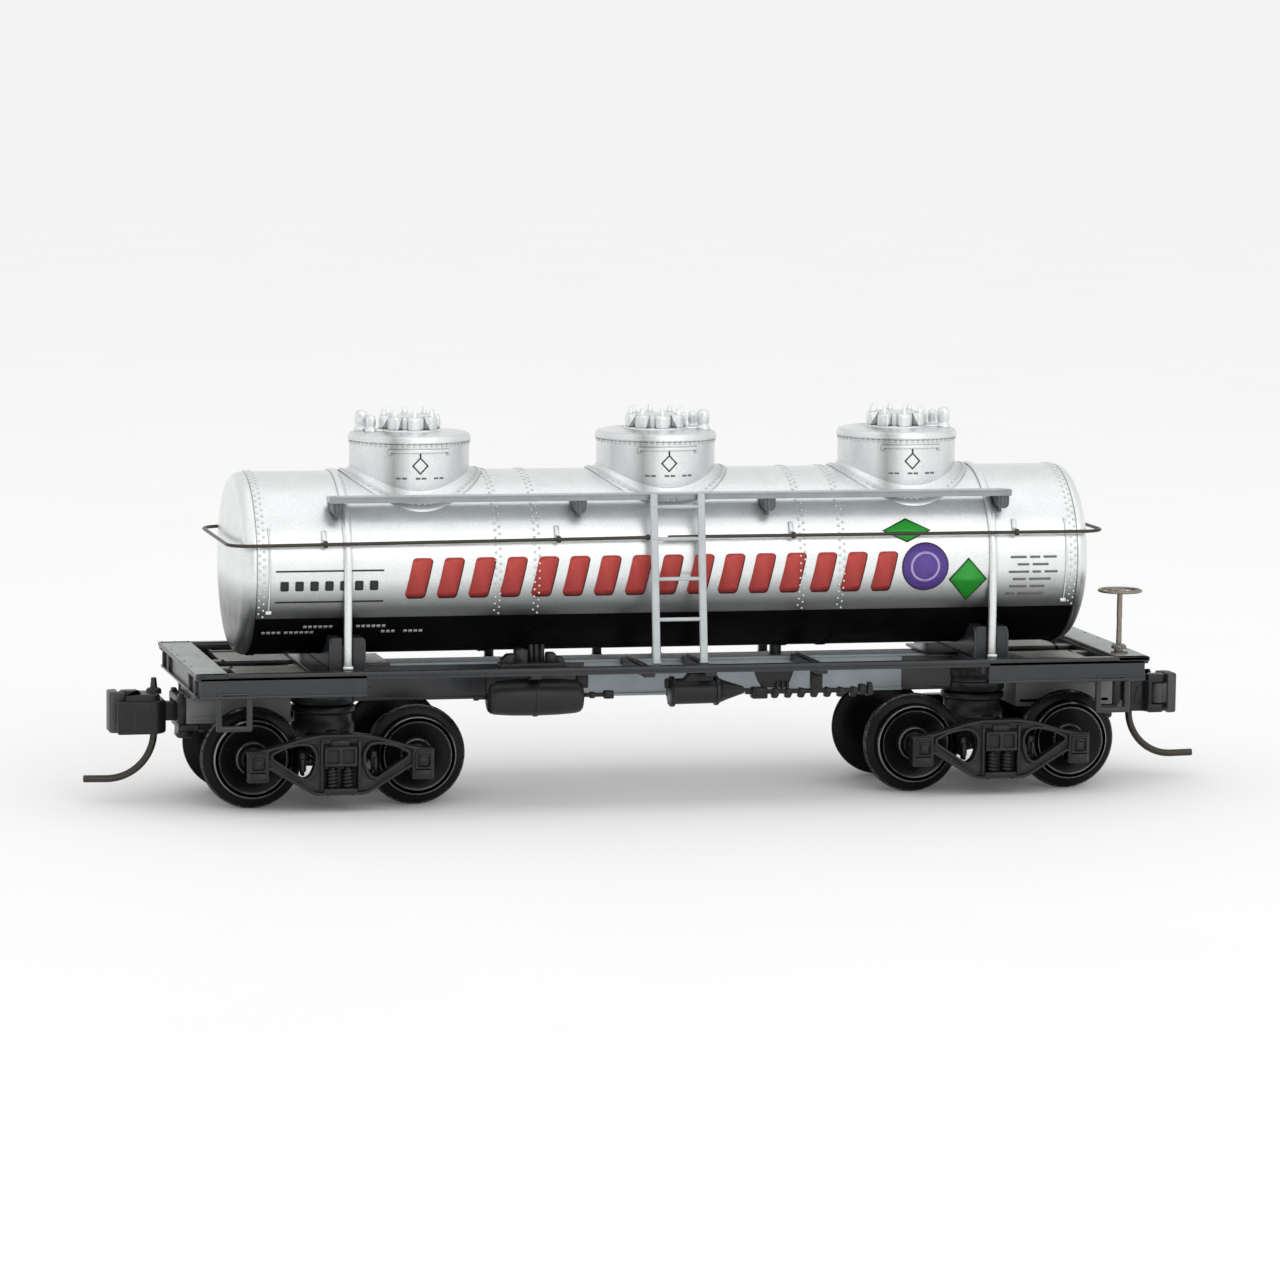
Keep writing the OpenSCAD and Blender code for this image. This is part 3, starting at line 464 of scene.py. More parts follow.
def coordinate(tree, kind, axis):
    """One axis of a texture coordinate."""
    coordinates = tree.nodes.new("ShaderNodeTexCoord")
    split = tree.nodes.new("ShaderNodeSeparateXYZ")
    tree.links.new(coordinates.outputs[kind], split.inputs["Vector"])
    return split.outputs[axis]


def between(tree, axis, low, high):
    """0 at low millimetres along an axis of object space and 1 at high."""
    return ranged(tree, coordinate(tree, "Object", axis), low * MM, high * MM)


def multiplied(tree, color_source, by, amount=1.0):
    """One colour times another, by an amount that may vary."""
    return mixed(tree, color_source, by, amount, "MULTIPLY")


def painted_recess_shade(tree, color_source, color, reach):
    """Painted shade: a darker colour mixed into corners and recesses, where less light reaches them."""
    occlusion = tree.nodes.new("ShaderNodeAmbientOcclusion")
    occlusion.samples = 4
    occlusion.inputs["Distance"].default_value = reach * MM
    return mixed(tree, color_source, color, ramp(tree, occlusion.outputs["AO"], [(0.35, 1.0), (0.88, 0.0)]))


def coated(name, color, rough, metallic=0.0, specular=0.5, tone=0.12, tone_size=1.5, grain=0.06,
           grain_height=0.002, edge=None, recess=None):
    """Paint or moulded plastic, with slow changes of tone, a fine grain, uneven gloss, a painted highlight
    along its edges and painted shade in its recesses. edge is the colour of the painted edge highlight, and
    recess scales the colour of the painted shade in its corners."""
    material, tree, shader = new_material(name, color, metallic, specular)
    slow = noise(tree, tone_size)
    tint = ramp(tree, slow, [(0.3, scaled(color, 1 - tone)), (0.7, scaled(color, 1 + tone))])
    # Painted shade in corners and recesses.
    if recess:
        tint = painted_recess_shade(tree, tint, scaled(color, recess), 0.5)
    # Painted highlight along the edges.
    if edge:
        tint = painted_edge_highlight(tree, tint, edge)
    tree.links.new(tint, shader.inputs["Base Color"])
    fine = noise(tree, grain, 2)
    tree.links.new(ramp(tree, noise(tree, tone_size / 3), [(0.25, rough[0]), (0.75, rough[1])]),
                   shader.inputs["Roughness"])
    add_bump(tree, shader, fine, grain_height)
    return material


SILVER_TINT = (0.89, 0.912, 0.915)


def silver_paint(name, shade_heights=None, reflection_widths=None):
    """Aluminium paint: fine flakes, faint vertical streaks and painted shade round raised detail.
    The height pair (low z, high z) adds painted shade: a dark reflection painted in, thinning out upwards.
    The width pair (low x, high x) lays upright bands of painted reflection, dark and bright, across that
    width."""
    material, tree, shader = new_material(name, SILVER_TINT, 0.82)
    flakes = ramp(tree, noise(tree, 0.07, 1), [(0.30, scaled(SILVER_TINT, 0.86)), (0.62, SILVER_TINT),
                                                (0.80, scaled(SILVER_TINT, 1.12))])
    streaks = ramp(tree, noise(tree, 1.2, 4, (1, 1, 0.12)), [(0.25, 0.93), (0.75, 1.0)])
    tint = multiplied(tree, flakes, streaks)
    # Painted shade in the hollows round rivets and raised detail.
    tint = painted_recess_shade(tree, tint, scaled(SILVER_TINT, 0.22), 0.14)
    if shade_heights:
        # Painted shade: darker towards the bottom, a dark reflection painted into the colour.
        painted_low_shade = ramp(tree, between(tree, "Z", *shade_heights),
                    [(0.0, 0.16), (0.15, 0.27), (0.30, 0.38), (0.48, 0.68), (0.64, 0.97), (0.8, 1.0)])
        tint = multiplied(tree, tint, painted_low_shade)
    if reflection_widths:
        # Painted reflection: upright dark and bright bands across the dome.
        painted_reflection = ramp(tree, between(tree, "X", *reflection_widths),
                      [(0.0, 0.90), (0.08, 0.98), (0.20, 0.88), (0.285, 0.52), (0.34, 0.74),
                       (0.42, 1.0), (0.56, 1.0), (0.72, 0.94), (0.92, 0.86), (1.0, 0.76)])
        tint = multiplied(tree, tint, painted_reflection)
    tree.links.new(tint, shader.inputs["Base Color"])
    tree.links.new(ramp(tree, noise(tree, 0.9, 4), [(0.3, 0.29), (0.7, 0.38)]), shader.inputs["Roughness"])
    add_bump(tree, shader, noise(tree, 0.12, 2), 0.0035)
    return material


def printed(name, color, rough=0.45, fade=None):
    """Pad-printed ink, speckled by the paint's grain. fade is (low z, high z, the colour at the low end)."""
    material, tree, shader = new_material(name, color, 0.0, 0.4)
    tint = ramp(tree, noise(tree, 0.16, 3),
                [(0.30, scaled(color, 0.86)), (0.62, color), (0.8, scaled(color, 1.14))])
    if fade:
        low, high, low_color = fade
        tint = mixed(tree, low_color, tint, between(tree, "Z", low, high))
    tree.links.new(tint, shader.inputs["Base Color"])
    tree.links.new(ramp(tree, noise(tree, 0.5), [(0.3, rough - 0.08), (0.7, rough + 0.08)]),
                   shader.inputs["Roughness"])
    add_bump(tree, shader, noise(tree, 0.1, 2), 0.002)
    return material


def turned_metal(name, color, rough, axis_scale):
    """Bare or blackened metal, with fine lines from turning or drawing along one direction."""
    material, tree, shader = new_material(name, color, 0.95)
    lines = noise(tree, 0.10, 2, axis_scale)
    tree.links.new(ramp(tree, lines, [(0.3, scaled(color, 0.78)), (0.7, scaled(color, 1.15))]),
                   shader.inputs["Base Color"])
    tree.links.new(ramp(tree, noise(tree, 0.4), [(0.3, rough - 0.07), (0.7, rough + 0.07)]),
                   shader.inputs["Roughness"])
    add_bump(tree, shader, lines, 0.0015)
    return material


SILVER = silver_paint("silver_paint")
# The tank's silver darkens towards its black lower paint: painted shade.
TANK_SILVER = silver_paint("tank_silver_paint", (PAINT_EDGE_Z, 16.6))
# Each dome's silver carries upright bands of painted reflection.
DOME_SILVER = {key: silver_paint(f"dome_silver_{key}", reflection_widths=(DOMES[key] - DOME_R, DOMES[key] + DOME_R))
               for key in DOMES}
TANK_BLACK = coated("tank_black_paint", (0.003, 0.003, 0.003), (0.40, 0.52), specular=0.02, tone=0.3,
                    grain=0.12, grain_height=0.002)
# In these materials, edge is the colour of a painted highlight along edges, and recess sets how dark the
# painted shade in corners goes.
BLACK = coated("black_plastic", (0.015, 0.0155, 0.0165), (0.30, 0.42), specular=0.32, tone=0.2,
               edge=(0.060, 0.062, 0.066), recess=0.2)
FRAME_BLACK = coated("frame_plastic", (0.025, 0.027, 0.030), (0.26, 0.36), tone=0.15,
                     edge=(0.070, 0.074, 0.078), recess=0.5)
# Lighter tops for the black end platforms and deck plates: a painted reflection of the bright surroundings.
PLATFORM_REFLECTION = coated("platform_top_reflection", (0.26, 0.285, 0.27), (0.30, 0.42), tone=0.15, recess=0.4)
DECK_REFLECTION = coated("deck_top_reflection", (0.20, 0.20, 0.165), (0.34, 0.48), tone=0.18, recess=0.4)
CASTING = coated("grey_casting", (0.300, 0.345, 0.365), (0.42, 0.58), metallic=0.1, tone=0.08, grain=0.1,
                 grain_height=0.004, edge=(0.36, 0.39, 0.40), recess=0.35)
DRAFT_GREY = coated("draft_sill_grey", (0.165, 0.172, 0.168), (0.42, 0.58), metallic=0.1, tone=0.1, grain=0.1,
                    grain_height=0.004, edge=(0.22, 0.23, 0.23), recess=0.3)
WHEEL = coated("wheel_black", (0.0040, 0.0040, 0.0048), (0.20, 0.30), specular=0.16, tone=0.2)
# A bright metal laid on the wheels' corners as a painted highlight.
RIM_HIGHLIGHT = coated("wheel_rim_highlight", (0.20, 0.205, 0.215), (0.22, 0.34), metallic=0.9, tone=0.15)
GREY_PAINT = coated("walkway_grey", (0.50, 0.535, 0.545), (0.40, 0.55), metallic=0.15, tone=0.07,
                    edge=(0.66, 0.68, 0.69), recess=0.3)
# A darker copy of the walkway grey for the boards' outer edges: painted shade.
BOARD_EDGE_SHADE = coated("board_edge_shade", (0.30, 0.32, 0.335), (0.40, 0.55), metallic=0.15, tone=0.1,
                    edge=(0.36, 0.38, 0.39), recess=0.3)
BRACKET_GREY = coated("bracket_grey", (0.11, 0.12, 0.125), (0.38, 0.5), tone=0.12, edge=(0.22, 0.235, 0.24),
                      recess=0.25)
WIRE = turned_metal("blackened_wire", (0.070, 0.062, 0.052), 0.36, (1, 1, 1))
BRAKE_METAL = turned_metal("brake_metal", (0.27, 0.245, 0.21), 0.40, (1, 1, 0.2))
STEEL = turned_metal("bright_steel", (0.52, 0.52, 0.51), 0.32, (1, 1, 1))
AXLE_STEEL = turned_metal("axle_steel", (0.20, 0.20, 0.205), 0.30, (1, 0.1, 1))
SPRING_STEEL = turned_metal("spring_bronze", (0.45, 0.40, 0.30), 0.30, (1, 1, 1))
KNUCKLE = coated("knuckle_plastic", (0.050, 0.050, 0.048), (0.40, 0.55), tone=0.15, edge=(0.09, 0.09, 0.085))
RED = printed("red_ink", (0.52, 0.060, 0.048), fade=(13.6, 16.2, (0.30, 0.022, 0.020)))
DARK_RED = printed("dark_red_ink", (0.075, 0.016, 0.014))
BLACK_INK = printed("black_ink", (0.020, 0.020, 0.022))
GREY_INK = printed("grey_ink", (0.16, 0.16, 0.165))
WHITE_INK = printed("white_ink", (0.42, 0.43, 0.44))
PURPLE = printed("purple_ink", (0.105, 0.058, 0.30))
LILAC = printed("lilac_ink", (0.42, 0.36, 0.66))
GREEN = printed("green_ink", (0.028, 0.43, 0.040), fade=(12.5, 18.5, (0.015, 0.26, 0.025)))
DARK_GREEN = printed("dark_green_ink", (0.010, 0.055, 0.014))


# ---------------------------------------------------------------- tank

SEAMS = (-11.9, -9.3, 8.7, 11.4)
END_SEAM = BARREL_END - 0.30


def tank_shell():
    """The barrel with its riveted seams; the lowest part is painted black up to a straight line."""
    form = Form()
    wall, lip, rivet_spread = 0.83, 0.06, 0.15
    low = math.asin((PAINT_EDGE_Z - TANK_Z) / TANK_R)
    silver_steps, black_steps = 112, 40
    silver = [low + (math.pi - 2 * low) * i / silver_steps for i in range(silver_steps)]
    black = [math.pi - low + (math.pi + 2 * low) * i / black_steps for i in range(black_steps)]
    angles = [a - math.pi for a in silver + black]
    profile = [(TANK_R - wall, -BARREL_END), (TANK_R - lip, -BARREL_END), (TANK_R, -BARREL_END + lip),
               (TANK_R, BARREL_END - lip), (TANK_R - lip, BARREL_END), (TANK_R - wall, BARREL_END)]
    # The lathe's first direction is -Z once its axis lies along X, so the angles start from there.
    turn = Matrix(((0, 0, 1, 0), (-1, 0, 0, 0), (0, -1, 0, TANK_Z), (0, 0, 0, 1)))
    form.lathe(profile, place=turn, angles=angles)
    rivet_gap = math.radians(2.35)
    count = int(2 * math.pi / rivet_gap)
    skin_faces = len(form.faces)
    for seam in (*SEAMS, -END_SEAM, END_SEAM):
        for i, angle in enumerate(turns(count)):
            normal = Vector((0, math.cos(angle), math.sin(angle)))
            at = Vector((seam + (rivet_spread if i % 2 else -rivet_spread), 0, TANK_Z)) + normal * TANK_R
            form.rivet(at, normal, 0.085, 0.08)
    # The thin upright lines near the ends: a wire on the skin with a foot below and a head above.
    line_x, line_top, line_drop, foot_z = 27.0, 18.4, 5.3, 12.95
    heights = [line_top - line_drop * i / 18 for i in range(19)]
    for x, side in product((-line_x, line_x), BOTH):
        foot_y, head_z = side * on_tank(foot_z), line_top + 0.05
        form.tube([(x, side * on_tank(z, 0.02), z) for z in heights], 0.055, 8)
        form.block((x - 0.2, foot_y - 0.12, foot_z - 0.07), (x + 0.2, foot_y + 0.14, foot_z + 0.19), 0.03)
        form.rivet((x, side * on_tank(head_z, 0.02), head_z), (0, side, 0.4), 0.10, 0.08)
    # The skin takes the tank silver with its painted low shade; rivets and wire lines take plain silver
    # without it.
    for k, face in enumerate(form.faces):
        centre = sum((form.verts[i] for i in face), Vector()) / len(face)
        form.paints[k] = 1 if centre.z < PAINT_EDGE_Z else 2 if k >= skin_faces else 0
    build("tank_shell", form, [TANK_SILVER, TANK_BLACK, SILVER], "tank_barrel")


def on_tank(z, proud=0.0):
    """Distance of the tank's skin from the wagon's centreline at a height."""
    return math.sqrt(max(0.0, (TANK_R + proud) ** 2 - (z - TANK_Z) ** 2))


def tank_head(end):
    """A dished head with a rounded knuckle, its skirt lapped inside the barrel."""
    form = Form(TURN[end])
    knuckle, groove, steps = 0.90, 0.05, 12
    dish = HEAD_END - BARREL_END - knuckle
    flat_r = TANK_R - knuckle
    profile = [(0, BARREL_END - 1), (TANK_R - 0.9, BARREL_END - 1), (TANK_R - 0.06, BARREL_END - 0.9),
               (TANK_R - 0.06, BARREL_END + groove - 0.03), (TANK_R - 0.01, BARREL_END + groove)]
    profile += [(flat_r + knuckle * math.cos(a), BARREL_END + groove + (knuckle - groove) * math.sin(a))
                for a in (0.5 * math.pi * i / steps for i in range(1, steps + 1))]
    profile += [(flat_r * (1 - t), BARREL_END + knuckle + dish * (1 - (1 - t) ** 2))
                for t in (0.15, 0.3, 0.5, 0.7, 0.85)]
    profile.append((0, HEAD_END))
    form.lathe(profile, 128, axis_x(0, 0, TANK_Z))
    # The head takes the tank silver, with its painted low shade.
    build(f"tank_end_{end}", form, [TANK_SILVER], f"tank_head_{end}")


RAIL_Z = DOME_TOP - 1.15
RIM_Z = DOME_TOP - 0.60


def dome(key):
    """A dome: rolled shell, riveted rim band, crowned top, riveted saddle flange and placard rails."""
    form = Form(shift(DOMES[key]))
    rim = DOME_R + 0.115
    base = TANK_Z + 2.5
    profile = [(0, base), (DOME_R, base), (DOME_R, RIM_Z - 0.02), (rim - 0.03, RIM_Z), (rim, RIM_Z + 0.04),
               (rim, RIM_Z + 0.16), (rim - 0.04, RIM_Z + 0.20), (rim - 0.05, DOME_TOP - 0.34)]
    profile += [(rim - 0.35 + 0.30 * math.cos(a), DOME_TOP - 0.34 + 0.24 * math.sin(a))
                for a in (0.5 * math.pi * i / 6 for i in range(1, 7))]
    profile += [(2.6, DOME_TOP - 0.02), (2.2, DOME_TOP), (0, DOME_TOP)]
    form.lathe(profile, 96)
    saddle_flange(form)
    rim_rivets, flange_rivets = 64, 66
    reach = FLANGE_OUT - 0.24
    for angle in turns(rim_rivets):
        out = Vector((math.cos(angle), math.sin(angle), 0))
        form.rivet(out * DOME_R + Vector((0, 0, RIM_Z - 0.12)), out, 0.10, 0.07)
    for angle in turns(flange_rivets):
        y = reach * math.sin(angle)
        up = Vector((0, y, on_tank_top(y, 0))).normalized()
        form.rivet((reach * math.cos(angle), y, TANK_Z + on_tank_top(y, 0.11)), up, 0.085, 0.075)
    half_rail = math.asin(1.93 / DOME_R)
    for side in BOTH:
        path = [((DOME_R + 0.04) * math.sin(a), side * (DOME_R + 0.04) * math.cos(a), RAIL_Z + 0.08)
                for a in (half_rail * (i / 8 - 1) for i in range(17))]
        form.sweep(path, rounded(rectangle(-0.10, -0.12, 0.10, 0.12), 0.03, 2), (0, 0, 1))
        for a in (-half_rail, half_rail):
            form.block((-0.11, side * DOME_R - 0.12, -0.34), (0.11, side * DOME_R + 0.14, 0.04), 0.03,
                       shift(0, 0, RAIL_Z + 0.14) @ Matrix.Rotation(-side * a, 4, "Z"))
    build(f"dome_shell_{key}", form, [DOME_SILVER[key]], f"dome_{key}")


def saddle_flange(form):
    """The flange that laps down on to the tank round a dome's foot, with a fillet up to its shell."""
    steps, rows = 128, 9
    inner, fillet_w, fillet_h, skin, sunk = DOME_R - 0.1, 0.36, 0.22, 0.12, -0.1
    section = []
    for k in range(rows):
        radius = inner + (FLANGE_OUT - inner) * k / (rows - 1)
        fillet = max(0.0, (DOME_R + fillet_w - radius) / fillet_w) ** 2 * fillet_h
        section.append((radius, skin + fillet if k < rows - 1 else skin - 0.03))
    section += [(FLANGE_OUT, sunk), (inner, sunk)]
    columns = len(section)
    verts = [(radius * math.cos(a), radius * math.sin(a), TANK_Z + on_tank_top(radius * math.sin(a), proud))
             for a in turns(steps) for radius, proud in section]
    faces = []
    for i, k in product(range(steps), range(columns)):
        j, m = (i + 1) % steps, (k + 1) % columns
        faces.append([i * columns + k, j * columns + k, j * columns + m, i * columns + m])
    form.add(verts, faces)


def on_tank_top(y, proud):
    """Height of the tank's skin above its axis at a distance from the centreline."""
    return math.sqrt(max(0.0, (TANK_R + proud) ** 2 - y ** 2))


def dome_fittings(key):
    """The manway cover in its ring of eight clamps with their bolts, and two safety valves on a small pad."""
    turn = math.pi if key == "a" else 0.0
    form = Form(shift(DOMES[key], 0, DOME_TOP) @ Matrix.Rotation(turn, 4, "Z"))
    form.lathe([(0, -0.1), (2.14, -0.1), (2.14, 0.04), (2.08, 0.10), (1.50, 0.13), (1.50, 0.80), (1.46, 0.86),
                (1.36, 0.88), (1.28, 0.94), (1.1, 0.98), (0.5, 1.02), (0, 1.03)], 64)
    clamp = [(1.35, 0.0), (2.02, 0.0), (2.02, 0.78), (1.96, 0.92), (1.84, 0.99), (1.35, 0.99)]
    knob = [(0, 0.9), (0.22, 0.9), (0.22, 1.06), (0.17, 1.13), (0.14, 1.30), (0.10, 1.40), (0, 1.43)]
    for angle in turns(8):
        place = Matrix.Rotation(angle, 4, "Z")
        form.prism(rounded(clamp, 0.05, 2), -0.41, 0.41, "y", 0.09, place=place)
        form.lathe(knob, 16, place @ shift(1.74))
    form.rod((-0.55, 0, 1.02), (0.55, 0, 1.02), 0.09, 12)
    form.prism(rounded(rectangle(1.6, -0.85, 3.0, 0.85), 0.3), -0.1, 0.13, "z", 0.05)
    for x, y, radius, height in ((2.68, 0.62, 0.32, 1.10), (3.10, -0.62, 0.43, 1.28)):
        neck = radius - 0.04
        form.lathe([(0, -0.1), (radius + 0.06, -0.1), (radius + 0.06, 0.1), (radius, 0.16), (neck, 0.22),
                    (neck, 0.36), (radius, 0.42), (radius, height - 0.30), (radius - 0.05, height - 0.14),
                    (radius - 0.16, height - 0.04), (radius - 0.24, height), (0, height + 0.01)], 28,
                   shift(x, y))
    build(f"manway_and_valves_{key}", form, [SILVER], f"dome_fittings_{key}")


def tank_band(end):
    """The strap that holds the tank in its saddle: flat over the top, crowned and thicker down its legs."""
    form = Form(TURN[end])
    foot_z = span("tank_band_b")[0].z
    half, steps, leg_steps, flat, crowned = 0.26, 48, 8, 0.17, 0.12
    leg_z = foot_z + 0.25
    path = [(BAND_X, -TANK_R, leg_z + (TANK_Z - leg_z) * i / leg_steps) for i in range(leg_steps)]
    path += [(BAND_X, -TANK_R * math.cos(a), TANK_Z + TANK_R * math.sin(a))
             for a in (math.pi * i / steps for i in range(steps + 1))]
    path += [(BAND_X, TANK_R, TANK_Z - (TANK_Z - leg_z) * (i + 1) / leg_steps) for i in range(leg_steps)]
    leg = leg_steps / (len(path) - 1)

    def section(t):
        down = max(0.0, leg - t, t - (1 - leg))
        thick = flat + crowned * min(1.0, down * 18)
        return [(-half, 0.05), (half, 0.05), (half, -0.5 * thick), (0.72 * half, -0.85 * thick), (0, -thick),
                (-0.72 * half, -0.85 * thick), (-half, -0.5 * thick)]

    form.sweep(path, section, (1, 0, 0))
    for side in BOTH:
        y = side * (TANK_R + 0.12)
        form.block((BAND_X - 0.33, y - 0.2, foot_z), (BAND_X + 0.33, y + 0.2, foot_z + 0.32), 0.05)
        form.rivet((BAND_X, y + side * 0.2, foot_z + 0.16), (0, side, 0), 0.12, 0.06)
    build(f"tank_strap_{end}", form, [SILVER], f"tank_band_{end}")


def tank_saddle(end):
    """The black chair under the tank, with an upright fork on each side for the strap."""
    form = Form(TURN[end])
    low, high = span("tank_saddle_b")
    half = (high.x - low.x) / 2
    steps = 20
    top, reach = high.z - 0.06, on_tank(high.z)
    across = [reach * math.cos(math.pi * i / steps) for i in range(steps + 1)]
    outline = [(-high.y, low.z), (high.y, low.z), (high.y, top)]
    outline += [(y, TANK_Z - on_tank_top(y, 0.02)) for y in across] + [(-high.y, top)]
    for x0, x1 in ((low.x + 0.12, BAND_X - 0.34), (BAND_X + 0.34, high.x - 0.12)):
        form.prism(outline, x0, x1, "x", 0.06)
    form.block((BAND_X - half + 0.2, -4.6, low.z), (BAND_X + half - 0.2, 4.6, low.z + 0.62), 0.06)
    for side in BOTH:
        for x in (low.x, high.x - 0.16):
            form.prism([(side * 5.2, low.z), (side * high.y, low.z), (side * high.y, high.z - 0.5),
                        (side * 5.75, high.z - 0.15)], x, x + 0.16, "x", 0.04)
        form.block((BAND_X - 0.4, side * 5.7 - 0.1, low.z), (BAND_X + 0.4, side * 5.7 + 0.1, high.z - 0.55),
                   0.04)
    build(f"saddle_{end}", form, [FRAME_BLACK], f"tank_saddle_{end}")


# ---------------------------------------------------------------- printed markings, all generic

PRINT_PROUD = 0.012


def skin_point(x, z, side):
    """A point on the tank's skin, just above its paint. side -1 is the near side."""
    return (-side * x, side * on_tank(z, PRINT_PROUD), z)


def print_shape(form, outline, side, holes=()):
    """Ink on the tank, cut into thin strips by height so that it follows the curve."""
    points = wound(outline, True)
    heights = [p.y for p in points]
    low, rise, strip = min(heights), max(heights) - min(heights), 0.30
    count = max(1, math.ceil(rise / strip))
    flat = bmesh.new()
    loops = [points] + [wound(hole, False) for hole in holes]
    corners = [flat.verts.new((p.x, 0, p.y)) for loop in loops for p in loop]
    flat.verts.ensure_lookup_table()
    for triangle in tessellate_polygon([[Vector((p.x, 0, p.y)) for p in loop] for loop in loops]):
        flat.faces.new([corners[i] for i in triangle])
    for i in range(1, count):
        bmesh.ops.bisect_plane(flat, geom=[*flat.verts, *flat.edges, *flat.faces],
                               plane_co=(0, 0, low + rise * i / count), plane_no=(0, 0, 1))
    flat.verts.index_update()
    form.add([skin_point(v.co.x, v.co.z, side) for v in flat.verts],
             [[v.index for v in face.verts] for face in flat.faces])
    flat.free()


def lifted(form, by):
    """Moves a printed layer sideways, off the layer under it."""
    form.verts = [v + Vector((0, by, 0)) for v in form.verts]


def print_on(name, form, paints, node):
    """A printed layer: given the thickness of ink, it rides with the part that it is printed on."""
    layer = make(name, form, paints, node, sharp=40)
    layer.modifiers.remove(layer.modifiers["weighted_normals"])
    ink = layer.modifiers.new("ink", "SOLIDIFY")
    ink.thickness = 0.008 * MM
    ink.offset = 1


def slanted(x, low, high, width, lean):
    return [(x, low), (x + width, low), (x + width + lean, high), (x + lean, high)]


def livery(side, label):
    """Plain slanted red bars with a dark lower edge, rules, plain data bars and a geometric emblem."""
    count, first, pitch, width, lean = 16, -18.1, 2.10, 1.28, 0.55
    low, high = 13.95, 16.50
    bars, shadows = Form(), Form()
    for x in (first + i * pitch for i in range(count)):
        print_shape(shadows, rounded(slanted(x + 0.07, low - 0.13, high - 0.05, width, lean), 0.25), side)
        print_shape(bars, rounded(slanted(x, low, high, width, lean), 0.25), side)
    lifted(shadows, -side * 0.009)
    print_on(f"band_shadow_{label}", shadows, [DARK_RED], "tank_barrel")
    print_on(f"band_bars_{label}", bars, [RED], "tank_barrel")

    rules = Form()
    for z in (13.70, 15.75):
        print_shape(rules, rectangle(-26.6, z - 0.05, -19.5, z + 0.05), side)
    for i in range(7):
        print_shape(rules, rounded(rectangle(-26.3 + i * 0.98, 14.45, -25.75 + i * 0.98, 15.08), 0.1), side)
    rules.paint = 1
    top_row, row_gap = 16.0, 0.50
    rows = ((23.1, (1.1, 0.7, 0.9)), (23.6, (0.8, 1.1)), (23.0, (1.4, 0.6, 0.9)), (23.3, (0.9, 1.5)),
            (23.1, (1.2, 1.0)), (22.9, (0.6, 1.8)))
    for row, (x, lengths) in enumerate(rows):
        z = top_row - row * row_gap
        for length in lengths:
            print_shape(rules, rectangle(x, z - 0.07, x + length, z + 0.07), side)
            x += length + 0.25
    rules.paint = 2
    for x, z, length in ((-24.6, 11.95, 1.9), (-21.1, 11.95, 1.9), (-27.3, 11.55, 1.3), (-25.8, 11.55, 1.9),
                         (-19.4, 11.55, 1.0), (-17.9, 11.55, 1.3)):
        for k in range(round(length / 0.34)):
            print_shape(rules, rectangle(x + k * 0.34, z - 0.09, x + k * 0.34 + 0.24, z + 0.09), side)
    print_on(f"rules_and_data_{label}", rules, [BLACK_INK, GREY_INK, WHITE_INK], "tank_barrel")

    for name, wider, taller, disc_r, lift, paints in (
            ("emblem_ground", 0.14, 0.12, 1.62, 0.0, [DARK_GREEN, BLACK_INK]),
            ("emblem", 0.0, 0.0, 1.54, 0.011, [GREEN, PURPLE])):
        emblem = Form()
        for x, z, half_w, half_h in ((15.9, 17.85, 1.55, 0.66), (20.15, 14.55, 1.20, 1.35)):
            print_shape(emblem, diamond(x, z, half_w + wider, half_h + taller), side)
        emblem.paint = 1
        print_shape(emblem, disc(disc_r), side)
        lifted(emblem, side * lift)
        print_on(f"{name}_{label}", emblem, paints, "tank_barrel")
    ring = Form()
    print_shape(ring, disc(1.02), side, [disc(0.86)])
    lifted(ring, side * 0.022)
    print_on(f"emblem_ring_{label}", ring, [LILAC], "tank_barrel")


def disc(radius):
    """A circle about the middle of the emblem."""
    return arc((17.15, 15.45), radius, 0, 360, 36)[:-1]


def diamond(x, z, half_w, half_h):
    return [(x - half_w, z), (x, z - half_h), (x + half_w, z), (x, z + half_h)]


def placard(key, side, label):
    """A plain diamond outline with a stem under each dome's rail, and a row of short bars below."""
    form = Form()
    outer, inner = diamond(0, 22.32, 0.56, 0.58), diamond(0, 22.32, 0.44, 0.46)
    shapes = [(outer, [inner], 0), (rectangle(-0.05, 22.88, 0.05, 23.12), [], 0)]
    shapes += [(rectangle(x, 21.44, x + 0.30, 21.55), [], 1) for x in (-1.6, -1.2, -0.3, 0.1, 0.95, 1.35)]
    for outline, holes, paint in shapes:
        form.paint = paint
        loops = [wound(outline, True)] + [wound(hole, False) for hole in holes]
        flat = [p for loop in loops for p in loop]
        radius = DOME_R + PRINT_PROUD
        turned = [(p.x / radius, p.y) for p in flat]
        verts = [(-side * radius * math.sin(a), side * radius * math.cos(a), z) for a, z in turned]
        faces = tessellate_polygon([[Vector((p.x, 0, p.y)) for p in loop] for loop in loops])
        form.add(verts, [list(f) for f in faces], shift(DOMES[key]))
    print_on(f"placard_{key}_{label}", form, [BLACK_INK, GREY_INK], f"dome_{key}")


# ---------------------------------------------------------------- walkways, ladders and rails

